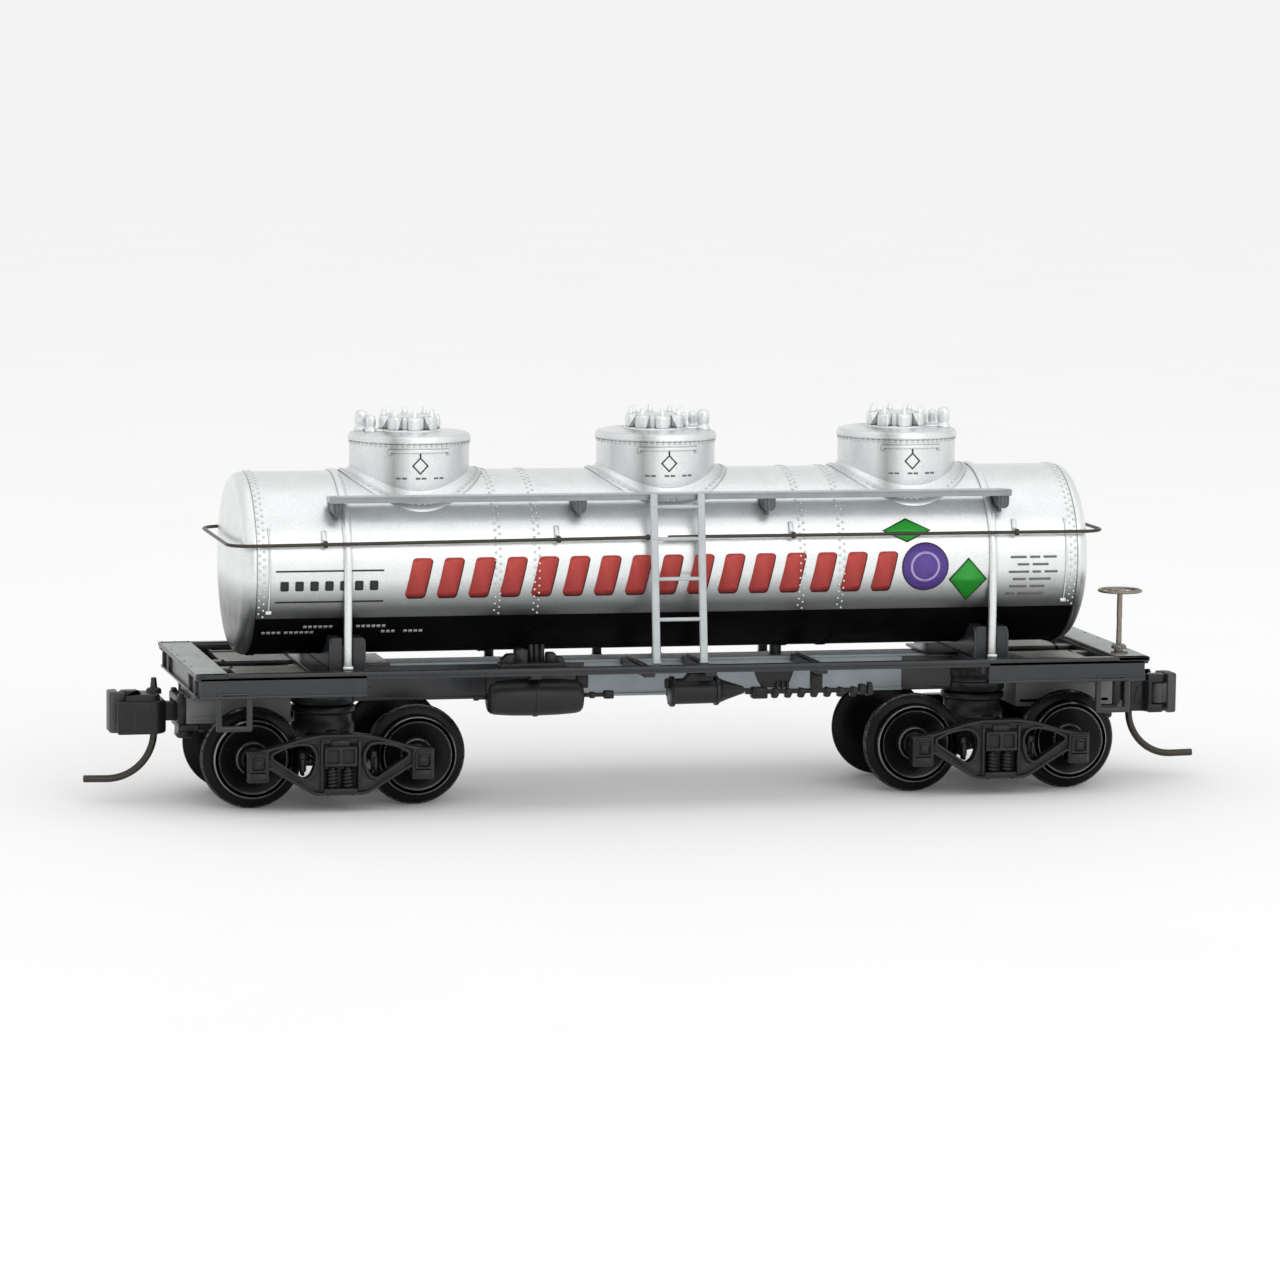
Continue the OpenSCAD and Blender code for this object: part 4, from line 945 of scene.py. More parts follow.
def walkway(label, side):
    """A running board: a plank with a raised outer edge, a thicker landing at the ladder, and end cleats."""
    form = Form(Matrix.Scale(side, 4, (0, 1, 0)))
    low, high = WALK_LOW.z + 0.02, WALK_HIGH.z
    inner, outer, end = WALK_LOW.y, WALK_HIGH.y, WALK_HIGH.x
    plank = rounded(rectangle(-end, inner, end, outer - 0.05), 0.3)
    form.prism(plank, low + 0.02, high - 0.03, "z", 0.05)
    form.block((-2.25, inner, WALK_LOW.z), (2.25, outer - 0.05, low + 0.06), 0.05)
    for sign in BOTH:
        for x in BRACKET_X:
            form.rivet((sign * x, outer - 0.5, high - 0.03), (0, 0, 1), 0.10, 0.05)
            form.rivet((sign * x, inner + 0.5, high - 0.03), (0, 0, 1), 0.10, 0.05)
    # The raised outer edge and the cleats take the darker grey: painted shade on the same paint.
    form.paint = 1
    form.block((-end + 0.04, outer - 0.12, low), (end - 0.04, outer - 0.02, high - 0.06), 0.03)
    form.block((-end + 0.03, outer - 0.16, high - 0.09), (end - 0.03, outer, high), 0.03)
    form.block((-0.05, outer - 0.1, low - 0.06), (0.05, outer + 0.012, high + 0.01), 0.02)
    cleat = [(0, low - 0.02), (0.17, low - 0.02), (0.21, low + 0.03), (0.21, high - 0.03),
             (0.16, high + 0.03), (0, high + 0.05)]
    for sign in BOTH:
        form.lathe(cleat, 20, shift(sign * (end - 0.24), outer - 0.2))
    build(f"running_board_{label}", form, [GREY_PAINT, BOARD_EDGE_SHADE], f"walkway_{label}")


def walkway_brackets():
    """Round-bottomed brackets from the tank out to the boards, each with two ribs and a tail."""
    form = Form()
    top, drop, half = WALK_LOW.z + 0.12, 0.95, 0.36
    out = WALK_HIGH.y - 0.1
    for side, x in product(BOTH, (*BRACKET_X, *(-b for b in BRACKET_X))):
        face = [(x + half, top), (x - half, top)] + arc((x, top - drop + half), half, 180, 360, 10)
        inner = on_tank(top - 0.5, 0) - 0.25
        form.prism(face, side * inner, side * out, "y", 0.06)
        rib_out, rib_z = side * (out + 0.06), top - drop + 0.14
        form.block((x - 0.20, side * inner, rib_z), (x - 0.07, rib_out, top - 0.08), 0.03)
        form.block((x + 0.07, side * inner, rib_z), (x + 0.20, rib_out, top - 0.08), 0.03)
        tail_z = top - drop - 0.28
        tail_y = side * (on_tank(tail_z) + 0.08)
        form.block((x - 0.12, side * 5.0, tail_z), (x + 0.12, tail_y, top - drop + 0.2), 0.04)
    build("walkway_supports", form, [BRACKET_GREY], "walkway_brackets")


def ladder(label, side):
    """Leaning stiles with four round rungs that pass through them."""
    form = Form(Matrix.Scale(side, 4, (0, 1, 0)))
    low, high = span("ladder_far")
    foot_z, top_z = low.z, high.z
    thick = 0.15
    foot_y, top_y = high.y - thick, low.y + thick
    stile = [(foot_y - thick, foot_z), (foot_y + thick, foot_z),
             (top_y + thick, top_z), (top_y - thick, top_z)]
    half_w = (high.x - low.x) / 2
    lean = (foot_y - top_y) / (top_z - foot_z)
    for sign in BOTH:
        x0, x1 = sorted((sign * half_w, sign * (half_w - 0.5)))
        form.prism(stile, x0, x1, "x", 0.07)
        form.block((x0 - 0.03, foot_y - 0.2, foot_z), (x1 + 0.03, foot_y + 0.2, foot_z + 0.18), 0.04)
        form.block((x0, top_y - 0.5, top_z - 0.32), (x1, top_y + 0.17, top_z - 0.02), 0.05)
    for z in (12.36, 15.00, 17.60, 19.70):
        y = top_y + (top_z - z) * lean
        form.rod((-half_w + 0.1, y, z), (half_w - 0.1, y, z), 0.13, 16)
        for sign in BOTH:
            form.rivet((sign * (half_w - 0.25), y + 0.14, z), (0, 1, 0), 0.10, 0.05)
    build(f"side_ladder_{label}", form, [GREY_PAINT], f"ladder_{label}")


def handrail(end):
    """One U of wire round a head; its far leg ends in a small knob beside the ladder."""
    form = Form(TURN[end])
    rail_r, bend = 0.115, 1.5
    corner_x, corner_y = RAIL_END - bend, RAIL_Y - bend
    knob_x = 1.95
    path = [(-0.6, -RAIL_Y)] + [(corner_x * i / 12, -RAIL_Y) for i in range(0, 12)]
    path += arc((corner_x, -corner_y), bend, -90, 0, 10)
    path += arc((corner_x, corner_y), bend, 0, 90, 10)
    path += [(corner_x - (corner_x - knob_x) * i / 12, RAIL_Y) for i in range(1, 13)]
    form.tube([(x, y, rail_height(end, x)) for x, y in path], rail_r, 12)
    knob = [(0.205 * math.sin(a), -0.205 * math.cos(a)) for a in (math.pi * i / 8 for i in range(9))]
    knob[0], knob[-1] = (0, -0.205), (0, 0.205)
    form.lathe(knob, 16, shift(knob_x, RAIL_Y, rail_height(end, knob_x)))
    for side, x in product(BOTH, STANCHION_X):
        clip = [(0.10, -0.13), (0.20, -0.13), (0.23, -0.09), (0.23, 0.09), (0.20, 0.13), (0.10, 0.13)]
        form.lathe(clip, 20, axis_x(x, side * RAIL_Y, rail_height(end, x)))
    build(f"rail_wire_{end}", form, [WIRE], f"handrail_{end}")


def rail_height(end, x):
    """Height of the wire: at end a it rises from the head towards the ladder."""
    level = middle(f"handrail_{end}").z
    return level + (0.25 * (1 - x / RAIL_END) if end == "a" else 0)


def stanchions():
    """Posts for the wire: a small plate on the tank and a stem out to the clip."""
    form = Form()
    for end, sign in (("a", -1), ("b", 1)):
        for side, x in product(BOTH, STANCHION_X):
            z = rail_height(end, x)
            x *= sign
            skin = on_tank(z)
            stem_in, stem_out = side * (skin - 0.1), side * (RAIL_Y - 0.1)
            form.block((x - 0.13, stem_in, z - 0.13), (x + 0.13, stem_out, z + 0.13), 0.04)
            upper = on_tank(z + 0.75)
            form.prism(rounded([(side * (upper - 0.15), z - 0.25), (side * (skin + 0.06), z - 0.25),
                                (side * (skin + 0.07), z + 0.3), (side * (upper + 0.09), z + 0.80),
                                (side * (upper - 0.15), z + 0.80)], 0.05), x - 0.15, x + 0.15, "x", 0.04)
            form.rivet((x, side * on_tank(z + 0.55, 0.07), z + 0.55), (0, side, 0.4), 0.08, 0.05)
    build("rail_posts", form, [SILVER], "handrail_stanchions")


# ---------------------------------------------------------------- underframe

def underframe():
    """Side sills, end platforms, end sills, bolsters, deck plates and crossbearers, moulded in black."""
    form = Form()
    thin_low, deep_low = SILL_TOP - 0.48, 7.83
    web_out, web_in, inner = HALF_W - 0.12, HALF_W - 0.62, HALF_W - 1.0
    deep_in, deep_out = 21.0, 31.9
    for side in BOTH:
        def bar(x0, x1, y0, y1, z0, z1, edge=0.05):
            form.block((x0, side * y0, z0), (x1, side * y1, z1), edge)

        end = FRAME_END - 0.05
        bar(-end, end, inner, web_out, thin_low, SILL_TOP - 0.10)
        bar(-end, end, web_in, HALF_W, SILL_TOP - 0.27, SILL_TOP)
        bar(-deep_in, deep_in, web_in + 0.1, HALF_W - 0.06, thin_low - 0.02, thin_low + 0.10, 0.04)
        for sign in BOTH:
            x0, x1 = sign * deep_in, sign * deep_out
            bar(x0, x1, web_in, web_out, deep_low, SILL_TOP - 0.05)
            bar(x0, x1, web_in, HALF_W - 0.02, deep_low, deep_low + 0.20)
            bar(x0, x1, inner, web_out, deep_low, deep_low + 0.15)
    for end in ENDS:
        form.place = TURN[end]
        frame_end(form, web_in, deep_low)
    form.place = Matrix()
    for x in (-9.65, -2.10, 2.10, 9.65):
        form.block((x - 0.4, -inner - 0.2, 8.60), (x + 0.4, -1.15, 9.20), 0.06)
        form.block((x - 0.12, -inner, 9.10), (x + 0.12, -1.15, 9.30), 0.04)
        form.block((x - 0.4, 1.15, 7.60), (x + 0.4, inner + 0.15, 8.20), 0.06)
        form.block((x - 0.3, inner - 0.1, 7.65), (x + 0.3, inner + 0.32, thin_low + 0.05), 0.05)
        form.rivet((x, -inner - 0.05, 9.2), (0, 0, 1), 0.14, 0.08)
    # The tops of the end platforms and of the deck plates get lighter colours: a painted reflection of the
    # bright surroundings on the same black plastic.
    for k, face in enumerate(form.faces):
        corners = [form.verts[i] for i in face]
        normal = (corners[1] - corners[0]).cross(corners[2] - corners[1]).normalized()
        centre = sum(corners, Vector()) / len(corners)
        if abs(normal.z) > 0.95 and abs(centre.x) > 24 and abs(centre.y) < 7.9:
            if centre.z > SILL_TOP - 0.02 and abs(centre.x) > 30:
                form.paints[k] = 1
            elif 8.98 < centre.z < 9.1:
                form.paints[k] = 2
    build("frame_moulding", form, [FRAME_BLACK, PLATFORM_REFLECTION, DECK_REFLECTION], "underframe")


def frame_end(form, web_in, deep_low):
    """Platform, end sill, deck plates and body bolster, drawn for end b."""
    platform_in, end_sill = 30.0, 31.6
    low, deck_low, deck_top = SILL_TOP - 0.30, 8.7, 9.0
    form.block((platform_in, -HALF_W, low), (FRAME_END, HALF_W, SILL_TOP), 0.05)
    form.block((end_sill, -web_in, deep_low), (end_sill + 0.3, web_in, low + 0.05), 0.05)
    form.block((end_sill + 0.1, -web_in, deep_low), (end_sill + 0.50, web_in, deep_low + 0.16), 0.04)
    form.block((end_sill + 0.1, -web_in, low - 0.1), (end_sill + 0.50, web_in, low + 0.05), 0.04)
    for y in (-7.2, -4.6, 4.6, 7.2):
        form.block((end_sill + 0.2, y - 0.16, deep_low), (end_sill + 0.5, y + 0.16, low + 0.05), 0.04)
    form.block((platform_in, -web_in, 8.70), (platform_in + 0.3, web_in, low + 0.05), 0.05)
    for side in BOTH:
        for x in (30.22, 31.1, 31.95):
            form.rivet((x, side * (HALF_W - 0.25), SILL_TOP), (0, 0, 1), 0.09, 0.05)
        for y in (1.6, 4.4):
            form.rivet((31.9, side * y, SILL_TOP), (0, 0, 1), 0.09, 0.04)
    for side in BOTH:
        for x0, x1, y0, y1 in ((24.29, 29.0, 1.3, 6.4), (28.7, 29.0, 6.3, web_in), (28.7, 30.1, 1.3, 2.3)):
            form.block((x0, side * y0, deck_low), (x1, side * y1, deck_top), 0.05)
        form.block((24.3, side * 6.05, 8.95), (29.0, side * 6.4, 9.08), 0.04)
    form.block((18.4, -2.5, 9.0), (20.7, 2.5, 9.2), 0.05)
    form.block((18.4, -2.5, 8.9), (20.7, -2.2, 9.2), 0.05)
    bolster_in, bolster_out = 20.6, 24.3
    form.block((bolster_in, -web_in, 8.4), (bolster_out, web_in, 9.2), 0.07)
    form.block((bolster_in, -4.2, 7.8), (bolster_out, 4.2, 8.5), 0.08)
    # The bolster's sloping undersides, in front of and behind its web.
    for x, side in product((bolster_in, bolster_out - 0.25), BOTH):
        gusset = [(side * 4.2, 8.45), (side * web_in, 8.45), (side * 4.2, 7.85)]
        form.prism(gusset, x, x + 0.25, "x", 0.04)
    form.lathe([(0, 6.3), (2.0, 6.3), (2.18, 6.45), (2.2, 6.95), (2.08, 7.05), (2.08, 7.3), (2.2, 7.42),
                (2.2, 7.9), (0, 7.9)], 48, shift(TRUCK_X))


def centre_sill():
    """The grey cast backbone: an I section with flanges; its web and lower flange are grey only from
    grey_from to grey_to, off centre, and frame black beyond.
    """
    form = Form()
    low, high = span("centre_sill")
    half = high.y
    lip = 0.18
    grey_from, grey_to = -5.0, 17.1
    for x0, x1, paint in ((low.x, grey_from, 1), (grey_from, grey_to, 0), (grey_to, high.x, 1)):
        form.paint = paint
        form.block((x0, -half + 0.12, low.z), (x1, half - 0.12, high.z - 0.05), 0.03)
        form.block((x0, -half, low.z), (x1, half, low.z + lip), 0.03)
    form.paint = 0
    form.block((low.x, -half, high.z - lip), (high.x, half, high.z), 0.04)
    build("backbone", form, [CASTING, FRAME_BLACK], "centre_sill")


def draft_gear(end):
    """The grey draft sill with the coupler's pocket under it, its black front plate, lid and screw."""
    form = Form(TURN[end])
    low, high = span("coupler_pocket_b")
    roof = COUPLER_Z + 0.66
    floor_z = low.z
    back = PIVOT_X - 1.35
    sill_end = 31.55
    form.block((low.x, -2.45, 7.05), (sill_end, 2.45, high.z), 0.08)
    form.block((low.x + 0.1, -2.5, 7.1), (sill_end - 0.1, 2.5, 7.28), 0.04)
    form.block((low.x + 0.1, -2.5, high.z - 0.22), (sill_end - 0.1, 2.5, high.z - 0.06), 0.04)
    for x in (28.05, 30.2):
        form.block((x - 0.1, -2.56, 7.1), (x + 0.1, 2.56, high.z - 0.1), 0.04)
    screw_x, screw_hole, steps = 26.0, 0.92, 24
    deep = rounded(rectangle(low.x, -2.0, back + 0.1, 2.0), 0.15)
    form.prism(deep, floor_z, 7.1, "z", 0.06, [arc((screw_x, 0), screw_hole, 0, 360, steps)[:-1]])
    for side, rib_out in ((-1, -1.4), (1, 2.05)):
        form.block((back, side * 1.4, floor_z), (sill_end + 0.3, side * 2.0, 7.1), 0.06)
        rib_in = min(side * 1.4, side * 2.0)
        form.block((low.x + 0.3, rib_in, floor_z + 0.25), (sill_end, rib_out, floor_z + 0.5), 0.03)
    form.block((back, -1.45, roof), (sill_end + 0.3, 1.45, 7.1), 0.05)
    form.paint = 1
    for side in BOTH:
        form.block((sill_end + 0.28, side * 1.4, floor_z), (high.x, side * 2.0, 7.08), 0.07)
        form.block((sill_end + 0.4, side * 1.3, 7.0), (high.x - 0.08, side * 1.9, 7.28), 0.07)
    form.block((sill_end + 0.28, -1.45, roof), (high.x, 1.45, 7.08), 0.06)
    build(f"draft_sill_{end}", form, [DRAFT_GREY, BLACK], f"coupler_pocket_{end}")

    lid = Form(TURN[end])
    low = span("pocket_lid_b")[0]
    plate_low = floor_z - 0.42
    lid.prism(rounded(rectangle(low.x, -2.0, 32.3, 2.0), 0.35), plate_low, floor_z, "z", 0.07)
    lid.block((31.2, -1.0, low.z), (32.2, 1.0, plate_low + 0.05), 0.1)
    lid.block((31.35, -0.7, low.z), (32.26, 0.7, low.z + 0.3), 0.08)
    for side in BOTH:
        boss = [(0, -0.16), (0.3, -0.16), (0.36, -0.08), (0.36, 0.05), (0, 0.05)]
        lid.lathe(boss, 20, shift(30.6, side * 1.45, plate_low))
        lid.rod((31.1, side * 1.3, floor_z - 0.2), (31.1, side * 2.12, floor_z - 0.2), 0.17, 14)
    lid.rod((PIVOT_X, 0, floor_z - 0.05), (PIVOT_X, 0, roof + 0.2), 0.5, 28)
    build(f"pocket_cover_{end}", lid, [BLACK], f"pocket_lid_{end}")


def stirrups():
    """Four bent-wire steps under the deep sills."""
    form = Form()
    low, high = span("stirrup_steps")
    x0, x1, foot, top = 28.5, 30.85, low.z, high.z
    y = high.y - 0.19
    bar = 0.36
    for end, side in product(ENDS, BOTH):
        form.place = TURN[end] @ Matrix.Scale(side, 4, (0, 1, 0))
        half = bar / 2
        outer = rounded(rectangle(x0, foot, x1, top + 0.4), 0.16)
        inner = rounded(rectangle(x0 + bar, foot + bar, x1 - bar, top + 0.2), 0.10)
        form.prism(outer, y - half, y + half, "y", 0.06, [inner])
        for x in (x0 + half, x1 - half):
            form.rivet((x, y + half, top - 0.1), (0, 1, 0), 0.12, 0.07)
    build("steps", form, [FRAME_BLACK], "stirrup_steps")


# ---------------------------------------------------------------- brake gear

def brake_staff_and_wheel():
    """The hand brake: a staff in a toothed foot, and a six-spoked wheel on top of it."""
    staff = Form()
    low, high = span("brake_staff")
    x, y = middle("brake_staff").x, middle("brake_staff").y
    place = shift(x, y)
    base = low.z
    staff.lathe([(0, base), (0.48, base), (0.48, base + 0.10), (0.30, base + 0.16), (0.30, base + 0.28),
                 (0.46, base + 0.32), (0.46, base + 0.56), (0.36, base + 0.62), (0.19, base + 0.66),
                 (0.17, base + 2.2), (0.19, base + 2.6), (0.18, high.z - 0.3), (0.22, high.z - 0.24),
                 (0.20, high.z - 0.02), (0, high.z)], 24, place)
    staff.block((x - 0.5, y - 0.16, base), (x + 0.62, y + 0.16, base + 0.14), 0.04)
    for angle in turns(10):
        tooth = shift(x, y, base + 0.44) @ Matrix.Rotation(angle, 4, "Z")
        staff.block((0.42, -0.06, -0.1), (0.52, 0.06, 0.1), 0.02, tooth)
    build("hand_brake_staff", staff, [BRAKE_METAL], "brake_staff")

    wheel = Form(shift(x, y, middle("brake_wheel").z))
    rim_r = (span("brake_wheel")[1].x - span("brake_wheel")[0].x) / 2 - 0.10
    wheel.tube([(u, v, 0.03) for u, v in circle(rim_r, 48)], 0.10, 10, True)
    wheel.lathe([(0.19, -0.12), (0.36, -0.12), (0.42, -0.04), (0.36, 0.12), (0.19, 0.12)], 24)
    hub_r = 0.3
    for angle in turns(6):
        out = Vector((math.cos(angle), math.sin(angle), 0))
        path = [out * (hub_r + (rim_r - hub_r) * t) + Vector((0, 0, -0.05 + 0.08 * t ** 2))
                for t in (0, 0.2, 0.4, 0.6, 0.8, 1)]
        wheel.sweep(path, circle(0.085, 8, 0.75), tuple(out.cross(Vector((0, 0, 1)))))
    build("hand_brake_wheel", wheel, [BRAKE_METAL], "brake_wheel")


def air_brakes():
    """Reservoir, cylinder, valve and rigging, hung from and standing on the near sill."""
    low, high = span("air_reservoir")
    x, y = middle("air_reservoir").x, middle("air_reservoir").y
    z, r = low.z + 1.30, 1.23
    half = (high.x - low.x) / 2
    tank = Form()
    side = [(0, -half), (0.68, -half), (0.90, -half + 0.06), (1.04, -half + 0.20), (1.12, -half + 0.5),
            (r - 0.03, -half + 1.6), (r, -0.16), (r + 0.07, -0.11), (r + 0.07, 0.11), (r, 0.16)]
    side += [(radius, -height) for radius, height in reversed(side[:6])]
    tank.lathe(side, 48, axis_x(x, y, z))
    tank.block((x - 0.55, y - 0.35, z + 0.95), (x + 0.22, y + 0.35, 8.65), 0.06)
    tank.block((x - half - 0.1, y - 0.3, z + 0.35), (x - half + 0.55, y + 0.3, 8.75), 0.06)
    tank.block((x + half - 0.4, y - 0.3, z + 0.55), (x + half + 0.35, y + 0.3, 8.75), 0.06)
    tank.rod((x - half - 0.85, y, z + 0.02), (x - half + 0.2, y, z + 0.02), 0.13, 12)
    tank.rod((x - half - 0.9, y, z + 0.02), (x - half - 0.55, y, z + 0.02), 0.21, 6)
    tank.rod((x + half - 0.2, y, z + 0.05), (x + half + 2.1, y, z + 0.05), 0.14, 12)
    tank.rod((x + half + 0.5, y, z + 0.05), (x + half + 0.85, y, z + 0.05), 0.24, 6)
    tank.block((x + half + 1.45, y - 0.24, z - 0.2), (x + half + 2.1, y + 0.24, z + 0.32), 0.05)
    build("reservoir", tank, [BLACK], "air_reservoir")

    x, y, z = 1.30, middle("brake_cylinder").y, span("brake_cylinder")[0].z + 1.02
    body = 1.45
    cylinder = Form()
    cylinder.lathe([(0, -body - 0.22), (0.95, -body - 0.22), (1.02, -body - 0.16), (1.02, -body + 0.04),
                    (0.86, -body + 0.12), (0.84, body - 0.12), (0.98, body - 0.06), (0.98, body + 0.12),
                    (0.86, body + 0.17), (0.62, body + 0.75), (0.24, body + 1.9), (0, body + 1.95)],
                   40, axis_x(x, y, z))
    bolt_ring = 0.88
    for angle in turns(8, math.pi / 8):
        bolt_y, bolt_z = y + bolt_ring * math.cos(angle), z + bolt_ring * math.sin(angle)
        for bolt_x, sign in ((x - body - 0.2, -1), (x + body + 0.12, 1)):
            cylinder.rivet((bolt_x, bolt_y, bolt_z), (sign, 0, 0), 0.08, 0.07)
    cylinder.prism([(x - 0.95, z + 0.6), (x + 1.15, z + 0.6), (x + 1.35, 8.66), (x - 0.35, 8.66)],
                   y - 0.42, y + 0.42, "y", 0.06)
    cylinder.block((x - body - 0.55, y - 0.2, z + 0.2), (x - body - 0.15, y + 0.2, z + 0.85), 0.06)
    cylinder.rod((x + body + 1.8, y, z), (x + body + 3.4, y, z - 0.05), 0.12, 12)
    build("brake_cylinder_body", cylinder, [BLACK], "brake_cylinder")

    low, high = span("brake_valve")
    x, y, z = -9.65, middle("brake_valve").y, low.z
    valve = Form()
    valve.block((low.x, y - 0.6, z), (high.x, y + 0.6, z + 0.38), 0.07)
    sloped = [(-2.15, 0), (-1.2, 0), (-1.2, 0.98), (-1.75, 0.95), (-1.95, 0.72), (-2.12, 0.62)]
    domed = [(-1.22, 0), (-0.38, 0), (-0.38, 1.18), (-0.55, 1.28), (-0.8, 1.36), (-1.05, 1.28), (-1.22, 1.18)]
    stepped = [(1.45, 0), (2.1, 0), (2.1, 0.45), (1.95, 0.74), (1.45, 0.8)]
    for outline, corner, half, edge in ((sloped, 0.12, 0.45, 0.09), (domed, 0.12, 0.5, 0.09),
                                        (stepped, 0.1, 0.42, 0.08)):
        valve.prism(rounded([(x + u, z + v) for u, v in outline], corner), y - half, y + half, "y", edge)
    for bolt in (-0.13, 0.22, 0.62):
        valve.rod((x + bolt, y - 0.1, z), (x + bolt, y - 0.1, z + 1.57), 0.15, 14)
    valve.block((x - 0.4, y, z), (x + 0.8, y + 0.45, z + 1.2), 0.06)
    valve.block((x + 0.88, y - 0.45, z), (x + 1.50, y + 0.42, z + 1.02), 0.1)
    valve.rod((x - 1.65, y - 0.6, z + 0.5), (x - 1.65, y + 0.5, z + 0.5), 0.26, 20)
    valve.rod((x + 1.2, y - 0.6, z + 0.6), (x + 1.2, y + 0.5, z + 0.6), 0.2, 18)
    build("control_valve", valve, [BLACK], "brake_valve")

    low, high = span("brake_rigging")
    y = middle("brake_rigging").y
    rod_z = 7.30
    rigging = Form()
    rigging.rod((low.x, y, rod_z), (high.x - 0.1, y, rod_z), 0.16, 12)
    links, first_link, link_gap = 7, 6.60, 0.90
    for x0 in (first_link + i * link_gap for i in range(links)):
        rigging.prism(rounded([(x0, rod_z - 0.42), (x0 + 0.34, rod_z - 0.42), (x0 + 0.5, rod_z - 0.1),
                               (x0 + 0.5, rod_z + 0.16), (x0 + 0.1, rod_z + 0.25), (x0, rod_z)], 0.08),
                      y - 0.26, y + 0.26, "y", 0.05)
    rigging.block((5.2, y - 0.4, rod_z - 0.42), (6.25, y + 0.4, rod_z + 0.32), 0.07)
    rigging.block((5.35, y - 0.46, rod_z - 0.2), (6.1, y + 0.46, rod_z + 0.1), 0.04)
    hanger = [(5.45, 8.66), (8.15, 8.66), (7.75, 7.55), (6.0, 7.55), (5.7, 8.0)]
    rigging.prism(hanger, y + 0.1, y + 0.42, "y", 0.05)
    for x0 in (6.9, 7.25, 7.6):
        rigging.block((x0, y - 0.16, 7.15), (x0 + 0.16, y + 0.44, 8.0), 0.04)
    rigging.block((9.25, y - 0.22, rod_z), (10.05, y + 0.22, 8.62), 0.06)
    rigging.block((12.6, y - 0.3, rod_z - 0.3), (13.05, y + 0.3, rod_z + 0.38), 0.06)
    rigging.prism([(13.1, rod_z - 0.4), (13.6, rod_z - 0.3), (13.45, rod_z + 0.5), (13.2, rod_z + 0.5)],
                  y - 0.28, y + 0.28, "y", 0.05)
    build("brake_rods", rigging, [BLACK], "brake_rigging")


# ---------------------------------------------------------------- trucks and wheels

FACE_OUT = 6.90
FACE_IN = 5.90
BOX_OUT = 7.30
OUTLINE = [(1.62, 1.15), (2.0, 1.30), (4.72, 2.95), (4.72, 2.10), (6.16, 2.10), (6.16, 4.05),
           (4.70, 4.28), (2.35, 4.96), (1.30, 5.13)]
WINDOW = [(4.45, 3.62), (4.50, 3.86), (3.60, 4.32), (2.60, 4.50), (1.95, 4.42), (1.62, 3.90), (1.66, 3.10),
          (1.95, 2.45), (2.35, 2.22)]
SPRING_WINDOW = rectangle(-1.12, 1.58, 1.12, 3.04)


def side_frame(form):
    """One cast side frame on +Y, drawn about its kingpin: web, rims, boxes, springs and bolster end."""
    outline = rounded(mirrored(OUTLINE), 0.16)
    windows = [rounded(WINDOW, 0.35), rounded([(-x, z) for x, z in WINDOW], 0.35), SPRING_WINDOW]
    form.prism(outline, FACE_IN, FACE_OUT - 0.22, "y", 0.06, windows)
    rim = rounded(rectangle(-0.13, -0.085, 0.13, 0.085), 0.04, 2)
    mid = FACE_OUT - 0.15
    for loop in windows[:2]:
        form.sweep([(p.x, mid, p.y) for p in inset(wound(loop, False), 0.06)], rim, (0, 1, 0), True)
    edge_path = inset(wound(outline, True), 0.09)
    form.sweep([(p.x, mid, p.y) for p in edge_path], rim, (0, 1, 0), True)
    for sign in BOTH:
        # The columns beside the springs, and the foot under them.
        form.block((sign * 1.14, FACE_IN, 1.40), (sign * 1.34, FACE_OUT, 4.75), 0.05)
        form.block((sign * 0.72, FACE_IN + 0.2, 1.12), (sign * 0.92, FACE_OUT + 0.04, 1.40), 0.05)
        journal_box(form, sign * HALF_BASE)
        spring(form, sign * 0.52)
    form.block((-1.12, FACE_IN, 1.22), (1.12, FACE_OUT - 0.02, 1.60), 0.05)
    form.block((-1.16, FACE_IN, 1.5), (1.16, FACE_IN + 0.3, 3.1), 0.05)
    # The end of the truck bolster: a ledge over two pockets with a rib between them.
    form.block((-1.08, FACE_IN, 3.04), (1.08, FACE_OUT - 0.12, 4.30), 0.06)
    form.block((-1.08, FACE_IN, 4.12), (1.08, FACE_OUT + 0.10, 4.36), 0.05)
    form.block((-1.08, FACE_IN, 3.04), (1.08, FACE_OUT + 0.10, 3.26), 0.05)
    for x in (-0.98, 0, 0.98):
        half = 0.13 if x == 0 else 0.10
        form.block((x - half, FACE_IN, 3.1), (x + half, FACE_OUT + 0.08, 4.25), 0.04)
    form.block((-0.62, FACE_IN, 4.30), (0.62, FACE_OUT - 0.05, 4.80), 0.06)
    # Brake shoes and their hangers, beside the treads.
    for sign in BOTH:
        form.block((sign * 2.12, 4.5, 2.6), (sign * 2.56, FACE_IN + 0.1, 3.9), 0.06)
        form.block((sign * 2.3, FACE_IN - 0.2, 2.4), (sign * 2.52, FACE_IN + 0.45, 3.5), 0.05)


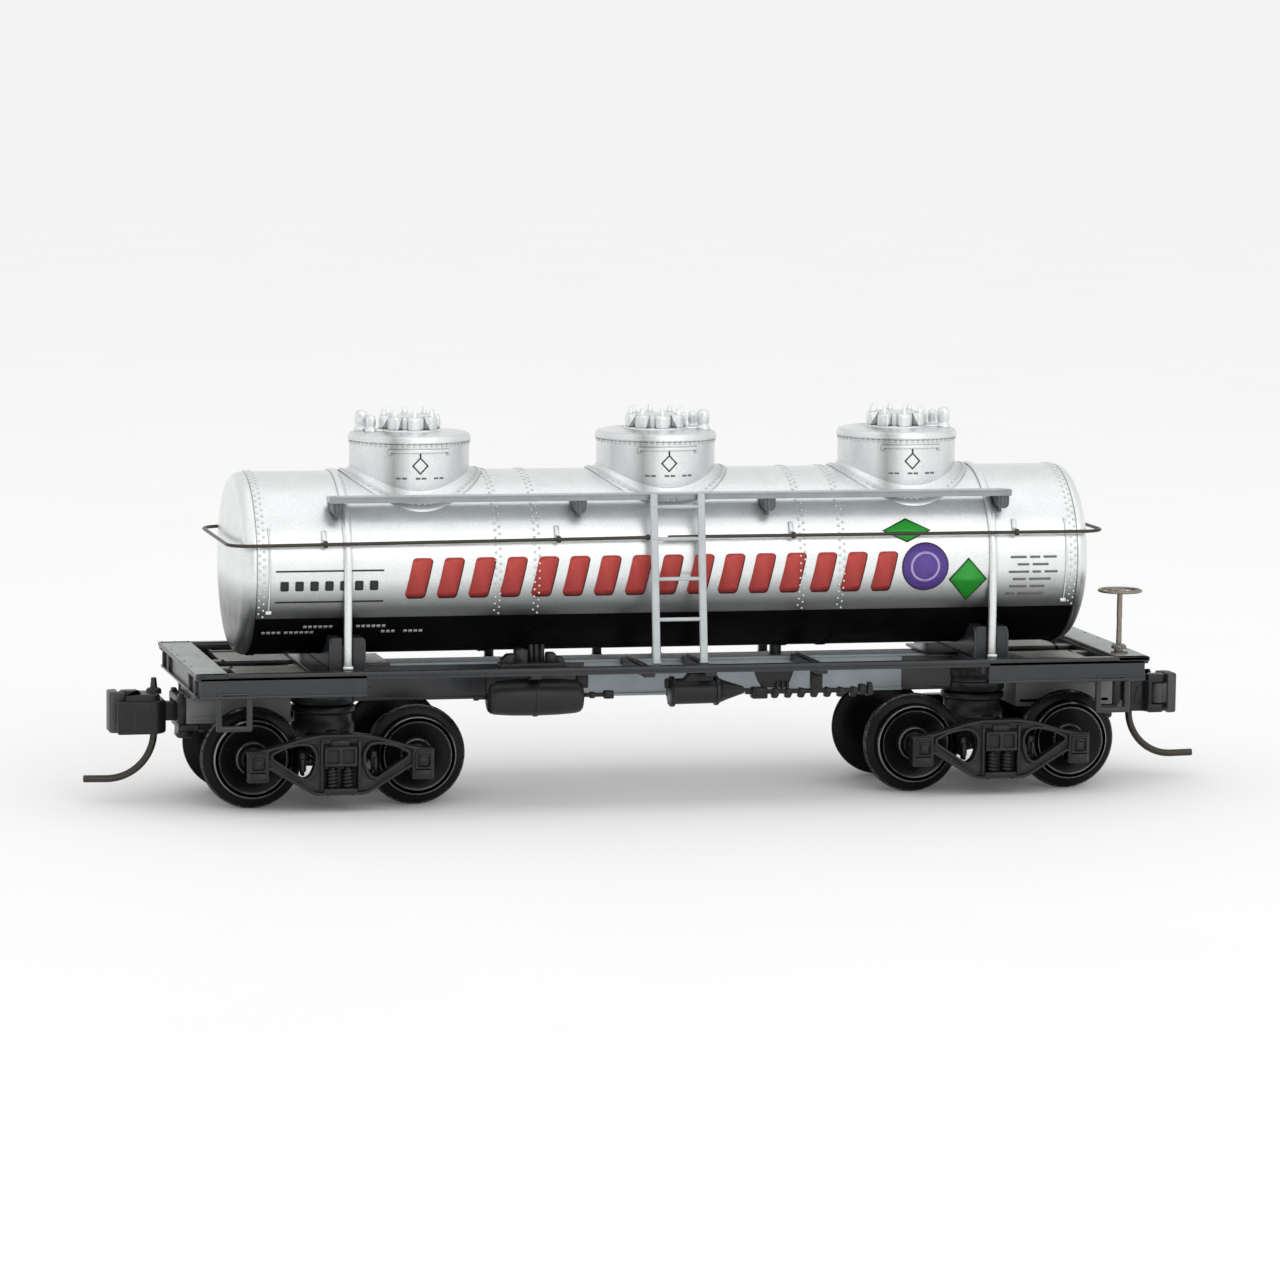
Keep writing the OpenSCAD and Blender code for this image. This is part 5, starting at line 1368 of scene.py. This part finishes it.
def journal_box(form, x):
    """An axle box with its lid: nested raised panels over a rounded oil cellar."""
    lid_window = [rounded(rectangle(x - 0.40, 2.95, x + 0.40, 3.78), 0.05)]
    for half_w, low, high, corner, back, recess, edge, holes in (
            (0.72, 2.10, 4.10, 0.16, FACE_IN, 0.30, 0.07, ()),
            (0.62, 2.14, 2.78, 0.20, FACE_IN, 0.18, 0.08, ()),
            (0.56, 2.80, 3.92, 0.08, BOX_OUT - 0.5, 0.10, 0.05, lid_window),
            (0.42, 2.92, 3.80, 0.05, BOX_OUT - 0.5, 0.22, 0.03, ()),
            (0.28, 3.02, 3.62, 0.06, BOX_OUT - 0.4, 0.02, 0.06, ())):
        panel = rounded(rectangle(x - half_w, low, x + half_w, high), corner)
        form.prism(panel, back, BOX_OUT - recess, "y", edge, holes)
    form.rod((x - 0.5, BOX_OUT - 0.28, 3.98), (x + 0.5, BOX_OUT - 0.28, 3.98), 0.11, 12)
    form.block((x - 0.72, FACE_IN, 3.95), (x + 0.72, FACE_OUT + 0.02, 4.16), 0.05)


def spring(form, x):
    """A coil spring moulded in the side frame, with a solid core."""
    low, high, coils, steps, coil_r, inset_z = 1.60, 3.04, 5, 14, 0.33, 0.12
    y = FACE_OUT - 0.42
    form.rod((x, y, low), (x, y, high), 0.26, 14)
    angles = [2 * math.pi * i / steps for i in range(coils * steps + 1)]
    pitch = (high - low - 2 * inset_z) / coils
    path = [(x + coil_r * math.cos(a), y + coil_r * math.sin(a), low + inset_z + pitch * a / (2 * math.pi))
            for a in angles]
    form.tube(path, 0.085, 8)


def truck(end):
    """A truck's casting: two side frames, the bolster, two beams and the pivot's turned boss."""
    form = Form()
    for side in BOTH:
        form.place = TURN[end] @ shift(TRUCK_X) @ Matrix.Scale(side, 4, (0, 1, 0))
        side_frame(form)
    form.place = TURN[end] @ shift(TRUCK_X)
    form.block((-1.5, -FACE_IN - 0.05, 3.3), (1.5, FACE_IN + 0.05, 4.6), 0.1)
    for side in BOTH:
        form.lathe([(0, 4.55), (0.42, 4.55), (0.42, 4.9), (0.34, 4.98), (0, 5.0)], 20,
                   shift(0, side * 3.6))
        form.block((side * 1.75 - 0.2, -FACE_IN, 3.05), (side * 1.75 + 0.2, FACE_IN, 3.45), 0.07)
    form.lathe([(0.65, 3.3), (2.0, 3.3), (2.1, 3.4), (2.1, 5.0), (1.95, 5.15), (1.95, 5.7), (2.15, 5.85),
                (2.15, 6.15), (2.05, 6.24), (0.65, 6.24)], 48)
    build(f"truck_casting_{end}", form, [BLACK], f"truck_frame_{end}")


def wheelset(n):
    """Two wheels, turned in bands so that the corners of rim and hub can carry a painted highlight, and their
    axle.
    """
    x = AXLES[n - 1]
    back = 3.78
    width = WHEEL_OUT - back
    wheels = Form()
    tip = FLANGE_R
    flange_back = [(1.1, 0.30), (1.2, 0.0), (tip - 0.16, 0.0), (tip - 0.05, 0.05), (tip, 0.15), (tip, 0.24),
                   (tip - 0.04, 0.30)]
    flange_edge = [(tip - 0.04, 0.30), (tip - 0.13, 0.38)]
    flange_face = [(tip - 0.13, 0.38), (tip - 0.22, 0.43), (TREAD_R + 0.14, 0.50), (TREAD_R + 0.06, 0.55)]
    tread = [(TREAD_R + 0.06, 0.55), (TREAD_R + 0.01, 0.66), (TREAD_R - 0.04, width - 0.12)]
    chamfer = [(TREAD_R - 0.04, width - 0.12), (TREAD_R - 0.07, width - 0.04), (TREAD_R - 0.14, width)]
    face = [(TREAD_R - 0.14, width), (2.28, width)]
    lip = [(2.28, width), (2.21, width - 0.02), (2.17, width - 0.10)]
    plate = [(2.17, width - 0.10), (2.12, width - 0.34), (2.02, 0.72), (1.75, 0.64), (1.45, 0.66),
             (1.22, 0.74), (1.14, 0.86)]
    hub_edge = [(1.14, 0.86), (1.10, 1.02), (1.04, 1.06), (0.98, 1.04)]
    hub = [(0.98, 1.04), (0.93, 0.96), (0.86, 0.96), (0.80, 1.12), (0.72, 1.16), (0.5, 1.16), (0.5, 0.30),
           (1.1, 0.30)]
    # Bands with paint 1 take the painted rim highlight.
    bands = ((0, flange_back), (1, flange_edge), (0, flange_face), (0, tread), (1, chamfer), (0, face),
             (1, lip), (0, plate), (1, hub_edge), (0, hub))
    for side in BOTH:
        place = axis_y(x, side * back, AXLE_Z, side)
        for paint, profile in bands:
            wheels.paint = paint
            wheels.lathe(profile, 96, place)
    build(f"wheels_{n}", wheels, [WHEEL, RIM_HIGHLIGHT], f"wheel_pair_{n}")

    axle = Form()
    end = span(f"axle_{n}")[1].y
    half = [(0, 0), (0.62, 0), (0.62, back - 0.3), (0.55, back), (0.50, back + 0.02),
            (0.50, WHEEL_OUT - 0.02), (0.30, WHEEL_OUT), (0.30, end - 0.2), (0.08, end), (0, end)]
    for side in BOTH:
        axle.lathe(half, 32, axis_y(x, 0, AXLE_Z, side))
    build(f"axle_shaft_{n}", axle, [AXLE_STEEL], f"axle_{n}")


# ---------------------------------------------------------------- couplers

HEAD_LOW, HEAD_HIGH = COUPLER_Z - 1.36, COUPLER_Z + 1.27
KNUCKLE_U, KNUCKLE_V = 6.35, -1.05


def coupler(end):
    """Shank, head, guard arm and lock, drawn from the pivot with +X outwards."""
    origin = TURN[end] @ shift(PIVOT_X)
    head = Form(origin)
    z0, z1 = COUPLER_Z - 0.6, COUPLER_Z + 0.6
    head.lathe([(0.55, z0), (0.98, z0), (1.05, z0 + 0.07), (1.05, z1 - 0.07), (0.98, z1), (0.55, z1)], 36)
    for side in BOTH:
        head.block((0.7, side * 0.28, z0), (3.3, side * 0.5, z1), 0.05)
    head.block((0.75, -0.5, z0), (1.26, 0.5, z1), 0.05)
    head.block((3.04, -0.5, z0), (4.3, 0.5, z1), 0.06)
    body = rounded([(4.0, -0.9), (5.35, -0.9), (5.6, -1.55), (5.85, -1.55), (5.88, 1.1), (6.6, 1.15),
                    (7.3, 1.3), (7.3, 1.6), (4.6, 1.6), (4.0, 0.9)], 0.2)
    slab = (HEAD_LOW + 0.02, HEAD_HIGH - 0.42)
    head.prism(body, slab[0], slab[1], "z", 0.12)
    crest = rounded([(4.35, -0.7), (4.75, -0.85), (5.45, -0.85), (5.72, -1.2), (5.8, 1.15), (6.7, 1.22),
                     (6.75, 1.45), (4.8, 1.45), (4.4, 1.0)], 0.2)
    head.prism(crest, slab[1] - 0.2, HEAD_HIGH, "z", 0.14)
    # A raised rib down each cheek of the head.
    guard_rib = [(4.62, HEAD_LOW + 0.5), (5.1, HEAD_HIGH - 0.75), (6.1, HEAD_HIGH - 0.75),
                 (6.1, HEAD_LOW + 0.3), (4.85, HEAD_LOW + 0.2)]
    knuckle_rib = [(4.62, HEAD_LOW + 0.5), (4.95, HEAD_HIGH - 0.8), (5.6, HEAD_HIGH - 0.8),
                   (5.6, HEAD_LOW + 0.3)]
    for y, outline in ((-0.86, knuckle_rib), (1.57, guard_rib)):
        head.prism(rounded(outline, 0.15), y - 0.08, y + 0.08, "y", 0.06)
    for z_low, z_high in ((HEAD_LOW, HEAD_LOW + 0.58), (HEAD_HIGH - 0.58, HEAD_HIGH)):
        ear = [(5.6, KNUCKLE_V - 0.5), (KNUCKLE_U, KNUCKLE_V - 0.5)]
        ear += arc((KNUCKLE_U, KNUCKLE_V), 0.5, -90, 90, 10)[1:] + [(5.6, KNUCKLE_V + 0.5)]
        head.prism(ear, z_low, z_high, "z", 0.07)
    collar = [(0.26, -0.1), (0.52, -0.1), (0.50, 0.16), (0.40, 0.26), (0.26, 0.28)]
    pin_u = 4.70
    head.lathe(collar, 24, shift(pin_u, 0, HEAD_HIGH))
    build(f"coupler_casting_{end}", head, [BLACK], f"coupler_head_{end}")

    jaw = Form(origin)
    low, high = HEAD_LOW + 0.63, HEAD_HIGH - 0.63
    block_u, pull_u = KNUCKLE_U + 0.62, span("knuckle_b")[1].x - PIVOT_X
    jaw.lathe([(0.2, low), (0.45, low), (0.5, low + 0.05), (0.5, high - 0.05), (0.45, high), (0.2, high)], 28,
              shift(KNUCKLE_U, KNUCKLE_V))
    jaw.block((KNUCKLE_U + 0.15, KNUCKLE_V - 0.35, low), (block_u + 0.15, KNUCKLE_V + 0.35, high), 0.06)
    face = rounded([(block_u, KNUCKLE_V - 0.5), (pull_u, KNUCKLE_V - 0.35), (pull_u, 0.05),
                    (pull_u - 0.25, 0.25), (block_u - 0.35, 0.25), (block_u - 0.35, -0.1),
                    (block_u, -0.25)], 0.12)
    jaw.prism(face, HEAD_LOW - 0.04, HEAD_HIGH + 0.04, "z", 0.09)
    build(f"jaw_block_{end}", jaw, [KNUCKLE], f"knuckle_{end}")

    wire = Form(origin)
    bend, top, tail, turn = 3.07, 8.20, 1.55, 91
    path = [(pin_u, 0, top), (pin_u, 0, 7.6), (pin_u, 0, 5.8)]
    steps = 22
    for i in range(steps + 1):
        a = math.radians(turn) * i / steps
        path.append((pin_u + bend * (1 - math.cos(a)), 0, HEAD_LOW - bend * math.sin(a)))
    direction = Vector((math.sin(math.radians(turn)), 0, -math.cos(math.radians(turn))))
    path += [tuple(Vector(path[-1]) + direction * tail * k) for k in (0.5, 0.97)]
    path.append(tuple(Vector(path[-1]) + direction * 0.03))
    count = len(path) - 1

    def section(t):
        return circle(0.24 if 0.5 < t * count < count - 0.5 else 0.17, 16)

    wire.sweep(path, section, (0, 1, 0))
    build(f"trip_wire_{end}", wire, [WIRE], f"trip_pin_{end}")

    coil = Form(origin)
    coils, steps, start, length, coil_r = 9, 14, 1.34, 1.62, 0.20
    angles = [2 * math.pi * i / steps for i in range(coils * steps + 1)]
    pitch = length / coils
    path = [(start + pitch * a / (2 * math.pi), coil_r * math.cos(a), COUPLER_Z + coil_r * math.sin(a))
            for a in angles]
    coil.tube(path, 0.048, 8)
    build(f"centring_coil_{end}", coil, [SPRING_STEEL], f"coupler_spring_{end}")


# ---------------------------------------------------------------- the rest of the CAD nodes

def keep(node, material):
    """Leaves a CAD node in place and gives it a better material."""
    part = frame["nodes"][node]
    part.data.materials.clear()
    part.data.materials.append(material)


# ---------------------------------------------------------------- build everything

tank_shell()
for end in ENDS:
    tank_head(end)
    tank_band(end)
    tank_saddle(end)
    handrail(end)
    truck(end)
    draft_gear(end)
    coupler(end)
for key in DOMES:
    dome(key)
    dome_fittings(key)
for label, side in (("near", -1), ("far", 1)):
    livery(side, label)
    walkway(label, side)
    ladder(label, side)
    for key in DOMES:
        placard(key, side, label)
walkway_brackets()
stanchions()
underframe()
centre_sill()
stirrups()
brake_staff_and_wheel()
air_brakes()
for n in range(1, 5):
    wheelset(n)
for end in ENDS:
    keep(f"kingpin_{end}", AXLE_STEEL)
    keep(f"knuckle_pin_{end}", AXLE_STEEL)
keep("tank_weight", STEEL)
keep("tank_screws", FRAME_BLACK)
keep("pocket_screws", STEEL)


# ---------------------------------------------------------------- floor, light and camera

def floor():
    """A plain sheet, large enough to reach past the view. Its half width is in metres."""
    material = coated("floor_paper", (0.975, 0.975, 0.972), (0.8, 0.95), specular=0.1, tone=0.006,
                      tone_size=20, grain=0.3, grain_height=0.003)
    mesh = bpy.data.meshes.new("floor")
    half_width = 50.0
    grid = bmesh.new()
    bmesh.ops.create_grid(grid, x_segments=8, y_segments=8, size=half_width)
    grid.to_mesh(mesh)
    grid.free()
    mesh.materials.append(material)
    plane = bpy.data.objects.new("floor", mesh)
    bpy.context.scene.collection.objects.link(plane)


def area_light(name, at, aim, size, watts):
    """A soft box; places and sizes in millimetres."""
    light = bpy.data.lights.new(name, "AREA")
    light.shape = "RECTANGLE"
    light.size, light.size_y = size[0] * MM, size[1] * MM
    light.energy = watts
    lamp = bpy.data.objects.new(name, light)
    lamp.location = Vector(at) * MM
    lamp.rotation_mode = "QUATERNION"
    lamp.rotation_quaternion = (Vector(aim) - Vector(at)).to_track_quat("-Z", "Y")
    bpy.context.scene.collection.objects.link(lamp)


def studio():
    """A bright tent with two soft boxes. Low in front it is darker, with a dark and a bright upright card."""
    world = bpy.data.worlds.new("studio")
    world.use_nodes = True
    bpy.context.scene.world = world
    tree = world.node_tree
    background = tree.nodes["Background"]
    background.inputs["Strength"].default_value = 1.42
    across, along, up = (coordinate(tree, "Generated", axis) for axis in "XYZ")
    front = ramp(tree, up, [(0.0, 0.98), (0.15, 0.95), (0.30, 0.84), (0.62, 0.80), (0.85, 0.68), (1.0, 0.62)])
    back = ramp(tree, up, [(0.0, 0.76), (0.4, 0.56), (1.0, 0.60)])
    cards = ramp(tree, ranged(tree, across, -1, 1), [
        (0.0, 0.62), (0.13, 0.55), (0.20, 0.10), (0.28, 0.25), (0.44, 0.72), (0.585, 1.0), (0.68, 0.80),
        (1.0, 0.62)])
    low_down = ramp(tree, up, [(0.0, 1.0), (0.30, 0.6), (0.5, 0.0)])
    front = multiplied(tree, front, cards, low_down)
    tent = mixed(tree, front, back, ranged(tree, along, -0.3, 0.3))
    tree.links.new(tent, background.inputs["Color"])
    centre = (0, 0, 12)
    area_light("top_box", (0, -20, 330), centre, (420, 260), 0.10)
    area_light("front_box", (110, -330, 190), centre, (240, 160), 0.10)
    bpy.context.scene.view_settings.view_transform = "Standard"


def camera():
    """The view: from the near side, a little to the left of square and a little above the wagon."""
    yaw, pitch, roll = math.radians(13.51), math.radians(7.268), math.radians(0.683)
    target, distance, lens = Vector((-0.898, 0, 10.08)), 344.99, 144.64
    forward = Vector((math.sin(yaw) * math.cos(pitch), math.cos(yaw) * math.cos(pitch), -math.sin(pitch)))
    level = forward.cross(Vector((0, 0, 1))).normalized()
    upright = level.cross(forward)
    right = level * math.cos(roll) + upright * math.sin(roll)
    up = upright * math.cos(roll) - level * math.sin(roll)
    data = bpy.data.cameras.new("camera")
    full_frame, near_clip, far_clip = 36, 0.01, 100
    data.lens, data.sensor_width = lens, full_frame
    data.clip_start, data.clip_end = near_clip, far_clip
    eye = bpy.data.objects.new("camera", data)
    eye.matrix_world = Matrix.Translation((target - forward * distance) * MM) @ Matrix(
        (right, up, -forward)).transposed().to_4x4()
    bpy.context.scene.collection.objects.link(eye)
    bpy.context.scene.camera = eye


floor()
studio()
camera()
